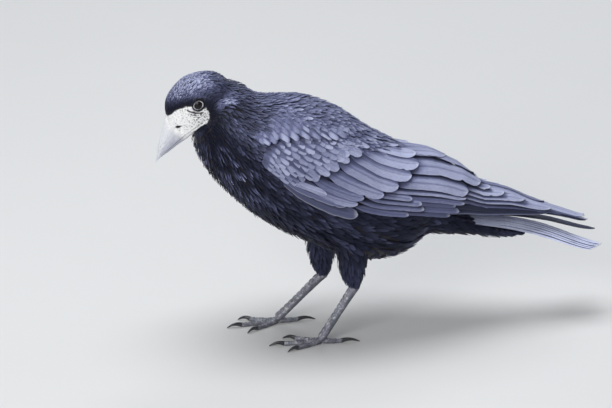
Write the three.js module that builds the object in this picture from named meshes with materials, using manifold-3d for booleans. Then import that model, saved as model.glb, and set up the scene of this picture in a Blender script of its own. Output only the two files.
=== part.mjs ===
// A rook (Corvus frugilegus), life size, mid-step with its head lowered, as a museum's still model.
// Millimetres. The bird faces -X, its left side is -Y and the floor is z = 0.
// Trunk, neck and head are lofts through named sections, parted by thin cuts. The folded wings and the tail
// are built from vanes laid on smooth envelopes, and each piece is trimmed clear of those it rests on.
import * as THREE from 'three';
import { mergeVertices } from 'three/addons/utils/BufferGeometryUtils.js';
import Module from 'manifold-3d';

const wasm = await Module();
wasm.setup();

// ---- Driving dimensions ----------------------------------------------------------------------------

const GAP = 0.3; // clearance between pieces that meet

// Trunk and neck, from the vent to the throat. Each section is a plane that leans back by `lean` degrees
// and holds a rounded oval: `up` and `down` from its centre, and `wide` to each side.
const BODY = [
  { x: 93, z: 122, lean: 0, up: 24, down: 28, wide: 25 },
  { x: 84, z: 124, lean: 0, up: 38, down: 39.5, wide: 35 },
  { x: 66, z: 125, lean: 0, up: 51, down: 51.5, wide: 45 },
  { x: 40, z: 130, lean: 0, up: 62, down: 60, wide: 52 },
  { x: 14, z: 141, lean: 0, up: 71, down: 65, wide: 55 },
  { x: -14, z: 154, lean: 0, up: 71, down: 64, wide: 56 },
  { x: -38, z: 165, lean: 2, up: 65, down: 62, wide: 54 },
  { x: -58, z: 176, lean: 9, up: 56, down: 55, wide: 49 },
  { x: -75, z: 187, lean: 15, up: 48.5, down: 48, wide: 42 },
  { x: -89, z: 199, lean: 21, up: 45, down: 44.5, wide: 35.5 },
  { x: -100, z: 210, lean: 24, up: 40.5, down: 40.5, wide: 29.5 },
  { x: -108, z: 219, lean: 26, up: 33, down: 34, wide: 24 },
];
const NECK_CUT = 7.25; // station between trunk and neck
const HEAD_CUT = 10.4; // station between neck and head

// Rump with the upper and under tail coverts, in upright sections.
const RUMP = [
  { x: 74, z: 122, lean: 0, up: 36, down: 29, wide: 31 },
  { x: 92, z: 117, lean: 0, up: 33, down: 27, wide: 28 },
  { x: 112, z: 109, lean: 0, up: 28, down: 21, wide: 23 },
  { x: 134, z: 101, lean: 0, up: 20, down: 15.5, wide: 17 },
  { x: 158, z: 91.5, lean: 0, up: 12, down: 11, wide: 11.5 },
  { x: 182, z: 81, lean: 0, up: 4.5, down: 4.5, wide: 5 },
];

// Head, in its own frame: x forward along the bill, z up, origin midway between the eyes.
const HEAD_AT = new THREE.Vector3(-119, -2.5, 235.5);
const HEAD_PITCH = 43; // degrees, bill down
const HEAD_YAW = 4; // degrees, bill to the bird's left
const HEAD = [
  { x: -31, z: -8, lean: 0, up: 5, down: 6, wide: 6 },
  { x: -27, z: -7, lean: 0, up: 12, down: 12, wide: 13 },
  { x: -18, z: -4, lean: 0, up: 19.5, down: 19, wide: 18 },
  { x: -7, z: -2, lean: 0, up: 23, down: 23, wide: 19.8 },
  { x: 4, z: -2, lean: 0, up: 23.5, down: 23.5, wide: 19.2 },
  { x: 14, z: -3, lean: 0, up: 22.5, down: 22.5, wide: 16.8 },
  { x: 22, z: -4.5, lean: 0, up: 19.5, down: 20, wide: 13.8 },
  { x: 28, z: -6.5, lean: 0, up: 14.5, down: 16.5, wide: 10.5 },
  { x: 30.5, z: -7.5, lean: 0, up: 10.5, down: 13, wide: 8 },
];
const EYE = { x: 0.5, y: 14.2, z: 0.5, radius: 6.2 };

// Bill, in the head's frame. `top` is the culmen, `cut` the line where the halves meet, `base` the chin side.
const BILL = [
  { x: 8, top: 2, cut: -16.4, base: -22, wide: 13 },
  { x: 20, top: 6, cut: -16.3, base: -23, wide: 11.6 },
  { x: 29, top: 5.8, cut: -16, base: -22.6, wide: 9.6 },
  { x: 37, top: 2, cut: -15.8, base: -21.4, wide: 7.8 },
  { x: 46, top: -3.6, cut: -15.8, base: -20, wide: 6 },
  { x: 54, top: -9, cut: -16.2, base: -18.9, wide: 4.1 },
  { x: 61, top: -14, cut: -17, base: -18.2, wide: 2.2 },
  { x: 65.5, top: -17.3, cut: -18.1, base: -18.3, wide: 0.8 },
];
const BILL_STEPS = 10;
const BILL_BED_END = 41; // where the bill is clear of the head's feathers
const LOWER_BILL_END = 62; // the lower half stops a little short of the upper one
const NOSTRIL = { x: 31, z: -2.5, halfLength: 3, halfHeight: 1.5, depth: 3 };

// Envelope of the folded left wing: upright quarter ovals from the lower edge to the back line.
const WING = [
  { x: -80, low: 200, top: 212, wide: 38 },
  { x: -70, low: 187, top: 219, wide: 50 },
  { x: -44, low: 166, top: 224.5, wide: 57.5 },
  { x: -17, low: 146, top: 220.5, wide: 61 },
  { x: 5, low: 134.5, top: 212, wide: 62 },
  { x: 18, low: 131, top: 203, wide: 62 },
  { x: 40, low: 128, top: 186, wide: 59 },
  { x: 64, low: 125.5, top: 174.5, wide: 54 },
  { x: 96, low: 120, top: 165.5, wide: 46 },
  { x: 122, low: 115.5, top: 150.5, wide: 37 },
  { x: 140, low: 111, top: 134.5, wide: 29 },
  { x: 166, low: 107, top: 125, wide: 22 },
  { x: 191, low: 103, top: 111.5, wide: 15 },
  { x: 211, low: 98.3, top: 102.5, wide: 10.5 },
  { x: 240, low: 89, top: 91, wide: 7.5 },
];

// Tail, whose halves lean out like a low roof: the height of its middle, its half width, how far its edges
// droop below the middle, and how far the two halves part.
const TAIL = [
  { x: 96, z: 107, half: 15, droop: 3, part: 0.4 },
  { x: 140, z: 100.5, half: 19, droop: 6.5, part: 0.4 },
  { x: 190, z: 89.5, half: 21, droop: 9, part: 1 },
  { x: 252, z: 68.5, half: 21, droop: 5, part: 8.5 },
];
const TAIL_FEATHERS = 6; // on each side
const TAIL_ROOT_X = 100;
const TAIL_MIDDLE_TIP_X = 250;
const TAIL_EDGE_TIP_X = 237;

// Legs. `heel` is the ankle, `foot` the point over the floor where the toes part.
const LEGS = {
  left: {
    knee: new THREE.Vector3(24, -27, 104),
    heel: new THREE.Vector3(22, -30, 55),
    foot: new THREE.Vector3(-9, -28, 5.2),
    heading: 4,
  },
  right: {
    knee: new THREE.Vector3(8, 27, 102),
    heel: new THREE.Vector3(6, 28, 45.5),
    foot: new THREE.Vector3(-37, 27, 5.2),
    heading: -3,
  },
};
const TOES = {
  middle: { turn: 0, length: 35, claw: 12, rise: 2.5 },
  inner: { turn: 27, length: 26, claw: 10.5, rise: 2.4 },
  outer: { turn: -27, length: 27, claw: 9.5, rise: 2.3 },
  hind: { turn: 180, length: 19, claw: 15, rise: 2.6 },
};
const TOE_HALF_WIDTH = 2.3;
const TARSUS_CLEARANCE = 0.6; // how far the ankle end of the foot stays above the floor

const COLOURS = {
  plumage: new THREE.MeshStandardMaterial({ color: 0x22242f, roughness: 0.55, metalness: 0 }),
  flight: new THREE.MeshStandardMaterial({ color: 0x2c2f3c, roughness: 0.4, metalness: 0 }),
  bill: new THREE.MeshStandardMaterial({ color: 0xb9bcc4, roughness: 0.5, metalness: 0 }),
  eye: new THREE.MeshStandardMaterial({ color: 0x14100e, roughness: 0.08, metalness: 0 }),
  leg: new THREE.MeshStandardMaterial({ color: 0x45474c, roughness: 0.6, metalness: 0 }),
  claw: new THREE.MeshStandardMaterial({ color: 0x17171a, roughness: 0.35, metalness: 0 }),
};

// ---- Small helpers ---------------------------------------------------------------------------------

const radians = THREE.MathUtils.degToRad;
const lerp = THREE.MathUtils.lerp;

// The row of named numbers at station q of a table, on a smooth curve through its rows.
function rowAtStation(table, q) {
  const last = table.length - 1;
  const i = Math.min(Math.floor(q), last - 1);
  const f = q - i;
  const row = {};
  for (const key of Object.keys(table[0])) {
    const [a, b, c, d] = [-1, 0, 1, 2].map((k) => table[THREE.MathUtils.clamp(i + k, 0, last)][key]);
    row[key] = b + 0.5 * f * (c - a + f * (2 * a - 5 * b + 4 * c - d + f * (3 * (b - c) + d - a)));
  }
  return row;
}

// The same for a place x along a table whose rows are sorted by x.
function rowAtX(table, x) {
  const last = table.length - 1;
  let i = 0;
  while (i < last - 1 && x > table[i + 1].x) i += 1;
  const q = (x - table[i].x) / (table[i + 1].x - table[i].x);
  return rowAtStation(table, i + THREE.MathUtils.clamp(q, 0, 1));
}

// A closed oval in the plane of `side` and `up` round `centre`.
function ovalRing(centre, side, up, wide, above, below, segments, power = 2.15) {
  return Array.from({ length: segments }, (_, k) => {
    const angle = (2 * Math.PI * k) / segments;
    const c = Math.cos(angle);
    const s = Math.sin(angle);
    const across = Math.sign(c) * Math.abs(c) ** (2 / power) * wide;
    const along = Math.sign(s) * Math.abs(s) ** (2 / power) * (s > 0 ? above : below);
    return centre.clone().addScaledVector(side, across).addScaledVector(up, along);
  });
}

// A closed solid through rings of equally many points, with a fan of faces over each end.
function loft(rings) {
  const n = rings[0].length;
  const points = rings.flat();
  const middle = (ring) => ring.reduce((sum, p) => sum.add(p), new THREE.Vector3()).divideScalar(n);
  const first = points.push(middle(rings[0])) - 1;
  const last = points.push(middle(rings.at(-1))) - 1;
  const index = [];
  const end = (rings.length - 1) * n;
  for (let k = 0; k < n; k += 1) {
    const next = (k + 1) % n;
    for (let r = 0; r < end; r += n) {
      index.push(r + k, r + next, r + n + k, r + next, r + n + next, r + n + k);
    }
    index.push(first, next, k, last, end + k, end + next);
  }
  return solidOf(points, index);
}

function solidOf(points, index) {
  const geometry = new THREE.BufferGeometry().setFromPoints(points).setIndex(index);
  const merged = mergeVertices(geometry, 1e-4);
  const mesh = { numProp: 3, vertProperties: merged.attributes.position.array, triVerts: new Uint32Array(merged.index.array) };
  const solid = new wasm.Manifold(new wasm.Mesh(mesh));
  if (solid.volume() > 0) return solid;
  for (let i = 0; i < mesh.triVerts.length; i += 3) {
    [mesh.triVerts[i + 1], mesh.triVerts[i + 2]] = [mesh.triVerts[i + 2], mesh.triVerts[i + 1]];
  }
  return new wasm.Manifold(new wasm.Mesh(mesh));
}

const joined = (solids) => solids.reduce((sum, one) => sum.add(one));
const trimmed = (solid, ...others) => largest(others.reduce((left, other) => left.subtract(other), solid));
const largest = (solid) => solid.decompose().reduce((a, b) => (b.volume() > a.volume() ? b : a));

function meshOf(name, solid, material, mirrored = false) {
  const { vertProperties, triVerts } = solid.getMesh();
  const geometry = new THREE.BufferGeometry();
  geometry.setAttribute('position', new THREE.BufferAttribute(vertProperties, 3));
  geometry.setIndex(new THREE.BufferAttribute(triVerts, 1));
  geometry.computeVertexNormals();
  const mesh = new THREE.Mesh(geometry, material);
  mesh.name = name;
  if (mirrored) mesh.scale.y = -1;
  return mesh;
}

// ---- Trunk, neck, rump and head --------------------------------------------------------------------

const SIDE = new THREE.Vector3(0, 1, 0);

// The oval rings of a table of sections, in the plane y = 0.
function sectionRings(table, from, to, count, segments, grow) {
  return Array.from({ length: count + 1 }, (_, k) => {
    const row = rowAtStation(table, lerp(from, to, k / count));
    const up = new THREE.Vector3(Math.sin(radians(row.lean)), 0, Math.cos(radians(row.lean)));
    const centre = new THREE.Vector3(row.x, row.y ?? 0, row.z);
    return ovalRing(centre, SIDE, up, row.wide + grow, row.up + grow, row.down + grow, segments);
  });
}

const bodySolid = (grow = 0) => loft(sectionRings(BODY, 0, BODY.length - 1, 18, 24, grow));
const rumpSolid = (grow = 0) => loft(sectionRings(RUMP, 0, RUMP.length - 1, 7, 16, grow));

// From the head's own frame to the bird's: bill down by the pitch, then left by the yaw.
const headFrame = (() => {
  const pitch = radians(HEAD_PITCH);
  const yaw = radians(HEAD_YAW);
  const forward = new THREE.Vector3(-Math.cos(yaw) * Math.cos(pitch), -Math.sin(yaw) * Math.cos(pitch), -Math.sin(pitch));
  const left = new THREE.Vector3(Math.sin(yaw), -Math.cos(yaw), 0);
  const up = new THREE.Vector3().crossVectors(forward, left);
  return new THREE.Matrix4().makeBasis(forward, left, up).setPosition(HEAD_AT);
})();
const inBird = (x, y, z) => new THREE.Vector3(x, y, z).applyMatrix4(headFrame);

const placed = (rings) => rings.map((ring) => ring.map((p) => inBird(p.x, p.y, p.z)));
const craniumSolid = (grow = 0) => loft(placed(sectionRings(HEAD, 0, HEAD.length - 1, 10, 16, grow)));

function eyeSolid(side, grow = 0) {
  const ball = new THREE.SphereGeometry(EYE.radius + grow, 12, 8);
  ball.rotateX(Math.PI / 2).translate(EYE.x, side * EYE.y, EYE.z);
  const at = ball.attributes.position;
  const points = Array.from({ length: at.count }, (_, i) => inBird(at.getX(i), at.getY(i), at.getZ(i)));
  return solidOf(points, Array.from(ball.index.array));
}

// A section of the bill, or of one half of it: a lens from chin to culmen, widest where the halves meet.
function billSection(x, wide, half, grow = 0) {
  const { top, cut, base } = rowAtX(BILL, x);
  const shift = { upper: GAP / 2, lower: -GAP / 2, both: 0 }[half];
  return Array.from({ length: 12 }, (_, j) => {
    const angle = (2 * Math.PI * j) / 12;
    const above = Math.sin(angle) > 0;
    const cutAway = half === (above ? 'lower' : 'upper');
    const share = cutAway ? 0 : Math.abs(Math.sin(angle));
    const far = above ? top + grow : base - grow;
    const narrow = 1 - (above ? 0.42 : 0.3) * share ** 2;
    return new THREE.Vector3(x, Math.cos(angle) * (wide + grow) * narrow, lerp(cut + shift, far, share));
  });
}

function billSolid(half) {
  const end = half === 'upper' ? BILL.at(-1).x : LOWER_BILL_END;
  const rings = Array.from({ length: BILL_STEPS + 1 }, (_, k) => {
    const x = lerp(BILL[0].x, end, k / BILL_STEPS);
    const taper = half === 'upper' ? 1 : THREE.MathUtils.clamp((end + 1.5 - x) / 12, 0.12, 1);
    return billSection(x, rowAtX(BILL, x).wide * taper, half);
  });
  return loft(placed(rings));
}

// The room that the head leaves for both halves of the bill.
function billBedSolid() {
  const rings = Array.from({ length: 6 }, (_, k) => {
    const x = lerp(BILL[0].x - GAP, BILL_BED_END, k / 5);
    return billSection(x, rowAtX(BILL, x).wide, 'both', GAP);
  });
  return loft(placed(rings));
}

function nostrilSolid(side) {
  const { x, z, halfLength, halfHeight, depth } = NOSTRIL;
  const rings = [-depth, depth].map((out) => {
    const centre = new THREE.Vector3(x, side * (rowAtX(BILL, x).wide * 0.8 + out), z);
    return ovalRing(centre, new THREE.Vector3(1, 0, 0), new THREE.Vector3(0, 0, 1), halfLength, halfHeight, halfHeight, 8);
  });
  return loft(placed(rings));
}

// The plane of a body section, as the normal towards the head and its distance from the origin.
function cutPlane(station) {
  const row = rowAtStation(BODY, station);
  const normal = new THREE.Vector3(-Math.cos(radians(row.lean)), 0, Math.sin(radians(row.lean)));
  return { normal, distance: normal.dot(new THREE.Vector3(row.x, 0, row.z)) };
}
const ahead = (solid, { normal, distance }) => solid.trimByPlane(normal.toArray(), distance + GAP / 2);
const behind = (solid, { normal, distance }) => solid.trimByPlane(normal.clone().negate().toArray(), GAP / 2 - distance);

// ---- Wing ------------------------------------------------------------------------------------------

const WING_TOP_EDGE = 0.97; // how near the folded wings come to each other along the back

// A point of the left wing's envelope: x along the body, t from the lower edge (0) to the back line (1).
function wingPoint(x, t, lift) {
  const { low, top, wide } = rowAtX(WING, x);
  const angle = (t * Math.PI) / 2;
  const out = new THREE.Vector2(Math.cos(angle) / wide, Math.sin(angle) / (top - low)).normalize();
  const y = -(wide * Math.cos(angle) + lift * out.x);
  return new THREE.Vector3(x, y, low + (top - low) * Math.sin(angle) + lift * out.y);
}

function wingArc(x) {
  const { low, top, wide } = rowAtX(WING, x);
  return (Math.PI / 2) * Math.sqrt((wide ** 2 + (top - low) ** 2) / 2);
}

// The place at share s of a bent line through [x, t] places.
function alongLine(line, s) {
  const q = s * (line.length - 1);
  const i = Math.min(Math.floor(q), line.length - 2);
  return [0, 1].map((axis) => lerp(line[i][axis], line[i + 1][axis], q - i));
}

// The columns of a row of feathers: shares across each feather from its lower edge to its upper one.
function rowColumns(count, shares) {
  return Array.from({ length: count }, (_, k) => shares.map((c) => ({ k, c, s: (k + c) / count }))).flat();
}

// A closed sheet whose columns are given by two functions of a column and a share of its length.
function sheetSolid(columns, outer, inner, steps) {
  const shares = Array.from({ length: steps + 1 }, (_, i) => i / steps);
  return loft(columns.map((column, i) => [
    ...shares.map((q) => outer(column, q, i)),
    ...shares.toReversed().map((q) => inner(column, q, i)),
  ]));
}

// A row of overlapping feathers as one sheet on the wing's envelope, counted from the wing's lower edge up.
// Roots and tips run along bent lines. Each feather's lower edge stands proud of the feather below it.
function featherRow({ count, roots, tips, lift, step, thick, scallop, steps, ribs }, grow) {
  const columns = rowColumns(count, ribs);
  const place = (level) => ({ c, s }, q, i) => {
    const root = alongLine(roots, s);
    const tip = alongLine(tips, s);
    const reach = q * (1 - scallop * (2 * c - 1) ** 2);
    const x = lerp(root[0] - grow, tip[0] + grow, reach);
    const beside = i === 0 ? -grow : i === columns.length - 1 ? grow : 0;
    const t = lerp(root[1], tip[1], reach) + beside / wingArc(x);
    return wingPoint(x, Math.min(t, WING_TOP_EDGE), level(c, reach));
  };
  const outer = place((c, q) => lerp(lift[0], lift[1], q) + step * (1 - c) * Math.min(1, 3 * q) + grow);
  const inner = place((c, q) => lerp(lift[0], lift[1], q) - thick - grow);
  return sheetSolid(columns, outer, inner, steps);
}

const WING_ROWS = {
  primaries: {
    count: 6, roots: [[50, 0.04], [104, 0.3], [112, 0.6]],
    tips: [[232, 0.06], [240, 0.3], [206, 0.4], [180, 0.56], [158, 0.72], [150, 0.95]],
    lift: [-2, 0.6], step: 0.9, thick: 1.7, scallop: 0.05, steps: 3, ribs: [0.04, 0.5, 0.96],
  },
  secondaries: {
    count: 7, roots: [[8, 0.03], [34, 0.3], [58, 0.92]],
    tips: [[66, 0.03], [106, 0.07], [124, 0.25], [130, 0.5], [142, 0.78], [126, 0.97]],
    lift: [-1, 2], step: 1, thick: 3, scallop: 0.06, steps: 2, ribs: [0.04, 0.5, 0.96],
  },
  greater_coverts: {
    count: 7, roots: [[-38, 0.13], [2, 0.38], [44, 0.82]],
    tips: [[12, 0.12], [37, 0.21], [55, 0.3], [70, 0.41], [79, 0.58], [77, 0.76], [68, 0.94]],
    lift: [0.5, 3.4], step: 1.3, thick: 3.6, scallop: 0.1, steps: 2, ribs: [0.03, 0.3, 0.7, 0.97],
  },
  alula: {
    count: 2, roots: [[-58, -0.03], [-48, 0.04]], tips: [[20, -0.02], [10, 0.1]],
    lift: [1.4, 3.2], step: 1.4, thick: 4, scallop: 0.1, steps: 4, ribs: [0.03, 0.3, 0.7, 0.97],
  },
};
const row = (name, grow = 0) => featherRow(WING_ROWS[name], grow);

// The feathered forearm and hand: a padded patch with a rounded front that carries the coverts.
const ARM = {
  lower: [[-78, 0.03], [-62, -0.01], [-38, 0.08], [-12, 0.2], [8, 0.36], [32, 0.58]],
  upper: [[-78, 0.06], [-68, 0.24], [-54, 0.37], [-32, 0.48], [-4, 0.57], [28, 0.72]],
  lift: 2.6,
  crown: 2.2,
  thick: 12,
};

function armSolid(grow = 0) {
  const columns = Array.from({ length: 11 }, (_, i) => ({ u: i / 10 }));
  const place = (inner) => ({ u }, v, i) => {
    const lower = alongLine(ARM.lower, u);
    const upper = alongLine(ARM.upper, u);
    const end = i === 0 ? -grow : i === columns.length - 1 ? grow : 0;
    const x = lerp(lower[0], upper[0], v) + end;
    const t = lerp(lower[1], upper[1], v) + ((2 * v - 1) * grow) / wingArc(x);
    const crown = ARM.crown * Math.sin(Math.PI * v) * Math.min(1, 4 * u);
    return wingPoint(x, t, inner ? ARM.lift - ARM.thick - grow : ARM.lift + crown + grow);
  };
  return sheetSolid(columns, place(false), place(true), 4);
}

// ---- Tail ------------------------------------------------------------------------------------------

// Half of the tail, from the middle pair of feathers, which lies on top, out to the edge.
const TAIL_STEP = 0.8;
const TAIL_THICK = 1.2;

function tailHalf(side) {
  const columns = rowColumns(TAIL_FEATHERS, [0.04, 0.5, 0.96]);
  const place = (below) => ({ k, c, s }, q) => {
    const tipX = lerp(TAIL_MIDDLE_TIP_X, TAIL_EDGE_TIP_X, s ** 1.6) - 5 * (2 * c - 1) ** 2;
    const x = lerp(TAIL_ROOT_X, tipX, q);
    const { z, half, droop, part } = rowAtX(TAIL, x);
    const y = lerp(part, half, s);
    return new THREE.Vector3(x, side * y, z - droop * (y / half) ** 2 + TAIL_STEP * (1 - c) * q - below - 0.1 * k);
  };
  return sheetSolid(columns, place(0), place(TAIL_THICK), 4);
}

// ---- Legs ------------------------------------------------------------------------------------------

// A tube through points, each with its half width across `side` and its half depth.
function tube(path, side, segments, grow, floor = -Infinity) {
  const rings = path.map(({ at, wide, deep }, i) => {
    const before = path[Math.max(0, i - 1)].at;
    const after = path[Math.min(path.length - 1, i + 1)].at;
    const along = after.clone().sub(before).normalize();
    const up = new THREE.Vector3().crossVectors(along, side).normalize();
    const ring = ovalRing(at, side, up, wide + grow, deep + grow, deep + grow, segments, 2);
    ring.forEach((p) => { p.z = Math.max(p.z, floor - grow); });
    return ring;
  });
  return loft(rings);
}

// The feathered lower thigh: a soft cone from inside the belly to just past the heel.
const TROUSER = [
  { q: 0, wide: 16, deep: 19 },
  { q: 0.35, wide: 14.5, deep: 16 },
  { q: 0.62, wide: 10.5, deep: 11.5 },
  { q: 0.84, wide: 7.2, deep: 8 },
  { q: 0.97, wide: 5.4, deep: 5.8 },
  { q: 1.05, wide: 4, deep: 4.2 },
];

function trouserSolid({ knee, heel }) {
  const path = TROUSER.map(({ q, wide, deep }) => {
    const at = knee.clone().lerp(heel, q);
    at.x -= 3 * Math.sin(Math.PI * Math.min(1, q)) + 2 * q;
    return { at, wide, deep };
  });
  return tube(path, SIDE, 12, 0);
}

const TARSUS = [
  { q: -0.05, wide: 2.4, deep: 3 },
  { q: 0.03, wide: 3.4, deep: 4.3 },
  { q: 0.14, wide: 2.6, deep: 3.5 },
  { q: 0.5, wide: 2.2, deep: 2.9 },
  { q: 0.88, wide: 2.5, deep: 3.2 },
  { q: 0.97, wide: 3.3, deep: 3.6 },
  { q: 1.03, wide: 2.6, deep: 2.8 },
];

function tarsusSolid({ heel, foot }, grow = 0) {
  const path = TARSUS.map(({ q, wide, deep }) => ({ at: heel.clone().lerp(foot, q), wide, deep }));
  return tube(path, SIDE, 8, grow, TARSUS_CLEARANCE);
}

// A toe along the floor with a flat sole, swollen at its pads.
const TOE_SWELL = [
  { q: 0, size: 1 },
  { q: 0.16, size: 1.05 },
  { q: 0.36, size: 0.9 },
  { q: 0.54, size: 1.04 },
  { q: 0.76, size: 0.84 },
  { q: 0.93, size: 0.98 },
  { q: 1, size: 0.72 },
];

function toeSolid(leg, toe, inward, grow = 0) {
  const { heading, side } = toeHeading(leg, toe, inward);
  const path = TOE_SWELL.map(({ q, size }) => {
    const at = leg.foot.clone().addScaledVector(heading, 1.5 + q * (toe.length - 1.5));
    at.z = lerp(3, 1.6, Math.min(1, q * 2.5));
    return { at, wide: TOE_HALF_WIDTH * size * lerp(1.08, 0.86, q), deep: toe.rise * size * lerp(1, 0.86, q) };
  });
  return tube(path, side, 6, grow, 0);
}

// A claw begins just beyond the end of its toe and curves down to the floor.
function clawSolid(leg, toe, inward) {
  const { heading, side } = toeHeading(leg, toe, inward);
  const path = Array.from({ length: 5 }, (_, i) => {
    const q = i / 4;
    const at = leg.foot.clone().addScaledVector(heading, toe.length + GAP + q * toe.claw);
    at.z = lerp(2, 0.3, q ** 1.5) + 1.2 * Math.sin(Math.PI * q);
    return { at, wide: lerp(1.3, 0.45, q), deep: lerp(1.6, 0.45, q) };
  });
  return tube(path, side, 6, 0, 0);
}

function toeHeading(leg, toe, inward) {
  const angle = radians(leg.heading + toe.turn * inward);
  const heading = new THREE.Vector3(-Math.cos(angle), Math.sin(angle), 0);
  return { heading, side: new THREE.Vector3(-heading.y, heading.x, 0) };
}

// ---- Assembly --------------------------------------------------------------------------------------

const bird = new THREE.Group();
const add = (name, solid, material, mirrored) => bird.add(meshOf(name, solid, material, mirrored));

const neckPlane = cutPlane(NECK_CUT);
const headPlane = cutPlane(HEAD_CUT);
const body = bodySolid();
const bodyGrown = bodySolid(GAP);
const headAndNeck = body.add(craniumSolid());
const eyeSockets = eyeSolid(1, GAP).add(eyeSolid(-1, GAP));
const billBed = billBedSolid();

add('trunk', largest(behind(body, neckPlane)), COLOURS.plumage);
add('neck', largest(behind(ahead(headAndNeck, neckPlane), headPlane)), COLOURS.plumage);
add('head', trimmed(ahead(headAndNeck, headPlane), eyeSockets, billBed), COLOURS.plumage);
add('bill_upper', trimmed(billSolid('upper'), nostrilSolid(1), nostrilSolid(-1)), COLOURS.bill);
add('bill_lower', billSolid('lower'), COLOURS.bill);
add('eye_left', eyeSolid(1), COLOURS.eye);
add('eye_right', eyeSolid(-1), COLOURS.eye);
add('rump', trimmed(rumpSolid(), bodyGrown), COLOURS.plumage);

const rumpGrown = rumpSolid(GAP);
const under = [bodyGrown, rumpGrown];
const armGrown = armSolid(GAP);
const greaterGrown = row('greater_coverts', GAP);
const secondariesGrown = row('secondaries', GAP);
const wingPieces = {
  forearm: trimmed(armSolid(), ...under),
  greater_coverts: trimmed(row('greater_coverts'), ...under, armGrown),
  alula: trimmed(row('alula'), ...under, armGrown, greaterGrown),
  secondaries: trimmed(row('secondaries'), ...under, armGrown, greaterGrown, row('alula', GAP)),
  primaries: trimmed(row('primaries'), ...under, armGrown, greaterGrown, secondariesGrown),
};
for (const [side, mirrored] of [['left', false], ['right', true]]) {
  for (const [piece, solid] of Object.entries(wingPieces)) {
    add(`wing_${side}_${piece}`, solid, piece === 'forearm' ? COLOURS.plumage : COLOURS.flight, mirrored);
  }
}

add('tail_left', trimmed(tailHalf(-1), rumpGrown), COLOURS.flight);
add('tail_right', trimmed(tailHalf(1), rumpGrown), COLOURS.flight);

for (const [name, leg] of Object.entries(LEGS)) {
  const inward = name === 'left' ? 1 : -1;
  const tarsusGrown = tarsusSolid(leg, GAP);
  add(`thigh_${name}`, trimmed(trouserSolid(leg), bodyGrown, tarsusGrown), COLOURS.plumage);
  add(`tarsus_${name}`, tarsusSolid(leg), COLOURS.leg);
  const middleGrown = toeSolid(leg, TOES.middle, inward, GAP);
  for (const [which, toe] of Object.entries(TOES)) {
    const clear = which === 'inner' || which === 'outer' ? [tarsusGrown, middleGrown] : [tarsusGrown];
    add(`toe_${name}_${which}`, trimmed(toeSolid(leg, toe, inward), ...clear), COLOURS.leg);
    add(`claw_${name}_${which}`, clawSolid(leg, toe, inward), COLOURS.claw);
  }
}

// The origin is on the floor, under the middle of the bird's box.
const box = new THREE.Box3().setFromObject(bird);
bird.position.set(-(box.min.x + box.max.x) / 2, -(box.min.y + box.max.y) / 2, -box.min.z);

export default bird;
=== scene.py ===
"""A rook, life size, as a museum's still model: skin, coat of solid feathers, bill, eyes and feet.

Shapes are worked out in the bird's own frame, in millimetres: it faces -X, its left side is -Y and the
floor is z = 0. place_in_frame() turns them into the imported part's metres.
"""
import math

import bmesh
import bpy
import numpy as np
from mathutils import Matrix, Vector
from mathutils.bvhtree import BVHTree


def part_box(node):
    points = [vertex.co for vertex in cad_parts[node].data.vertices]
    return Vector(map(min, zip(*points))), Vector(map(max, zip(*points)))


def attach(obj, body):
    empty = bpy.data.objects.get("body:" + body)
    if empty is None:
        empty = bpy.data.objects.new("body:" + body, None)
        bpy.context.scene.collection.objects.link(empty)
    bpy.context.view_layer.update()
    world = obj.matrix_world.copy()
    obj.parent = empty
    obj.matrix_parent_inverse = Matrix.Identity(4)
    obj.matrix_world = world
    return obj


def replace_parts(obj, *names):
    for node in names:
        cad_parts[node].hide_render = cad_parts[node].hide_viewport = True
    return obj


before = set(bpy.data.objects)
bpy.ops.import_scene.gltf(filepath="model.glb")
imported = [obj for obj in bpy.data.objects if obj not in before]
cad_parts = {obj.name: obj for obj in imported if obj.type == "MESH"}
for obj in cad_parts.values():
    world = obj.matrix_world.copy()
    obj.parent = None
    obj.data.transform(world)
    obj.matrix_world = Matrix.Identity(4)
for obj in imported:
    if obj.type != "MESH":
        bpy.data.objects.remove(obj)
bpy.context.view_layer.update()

# ---- The bird's measures, the same as the part's ----------------------------------------------------

TRUNK_END_X = 93.0
ORIGIN_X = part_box("trunk")[1].x * 1000 - TRUNK_END_X  # the bird's x = 0 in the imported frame

# Trunk and neck: x, z of the centre, lean, then reach above, below and to each side.
BODY = np.array([
    (93, 122, 0, 24, 28, 25), (84, 124, 0, 38, 39.5, 35), (66, 125, 0, 51, 51.5, 45),
    (40, 130, 0, 62, 60, 52), (14, 141, 0, 71, 65, 55), (-14, 154, 0, 71, 64, 56),
    (-38, 165, 2, 63.3, 62, 54), (-58, 176, 9, 53.8, 55, 49), (-75, 187, 15, 47.6, 47.5, 42),
    (-89, 199, 21, 45.4, 41.8, 35.5), (-100, 210, 24, 40.0, 35.4, 29.5), (-108, 219, 26, 32.0, 28.4, 24),
], float)
RUMP = np.array([
    (74, 122, 0, 36, 29, 31), (92, 117, 0, 31, 28, 28), (112, 105, 0, 15, 18.5, 22),
    (134, 96, 0, 5, 13, 15.5), (156, 88, 0, 2, 9.5, 11), (172, 83, 0, 0.8, 5.6, 6), (183, 79.5, 0, 0.5, 0.6, 3),
], float)
# Head, in its own frame: x forward along the bill, y to the left, z up.
HEAD = np.array([
    (-31, -8, 0, 5.5, 6, 6), (-27, -7, 0, 12, 12, 13), (-18, -4, 0, 17.2, 19, 18),
    (-7, -2, 0, 21.4, 23, 19.8), (4, -2, 0, 22.7, 23.3, 19.2), (14, -3, 0, 22.6, 21.6, 16.8),
    (22, -4.5, 0, 20.3, 18.8, 13.6), (28, -6.5, 0, 15.4, 14.6, 10.0), (30.5, -7.5, 0, 11, 11.5, 7.4),
], float)
HEAD_AT = np.array([-119, -2.5, 235.5])
HEAD_PITCH = math.radians(43)
HEAD_YAW = math.radians(4)
EYE_AT = np.array([0.5, 14.2, 0.5])
EYE_RADIUS = 6.2
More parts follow.
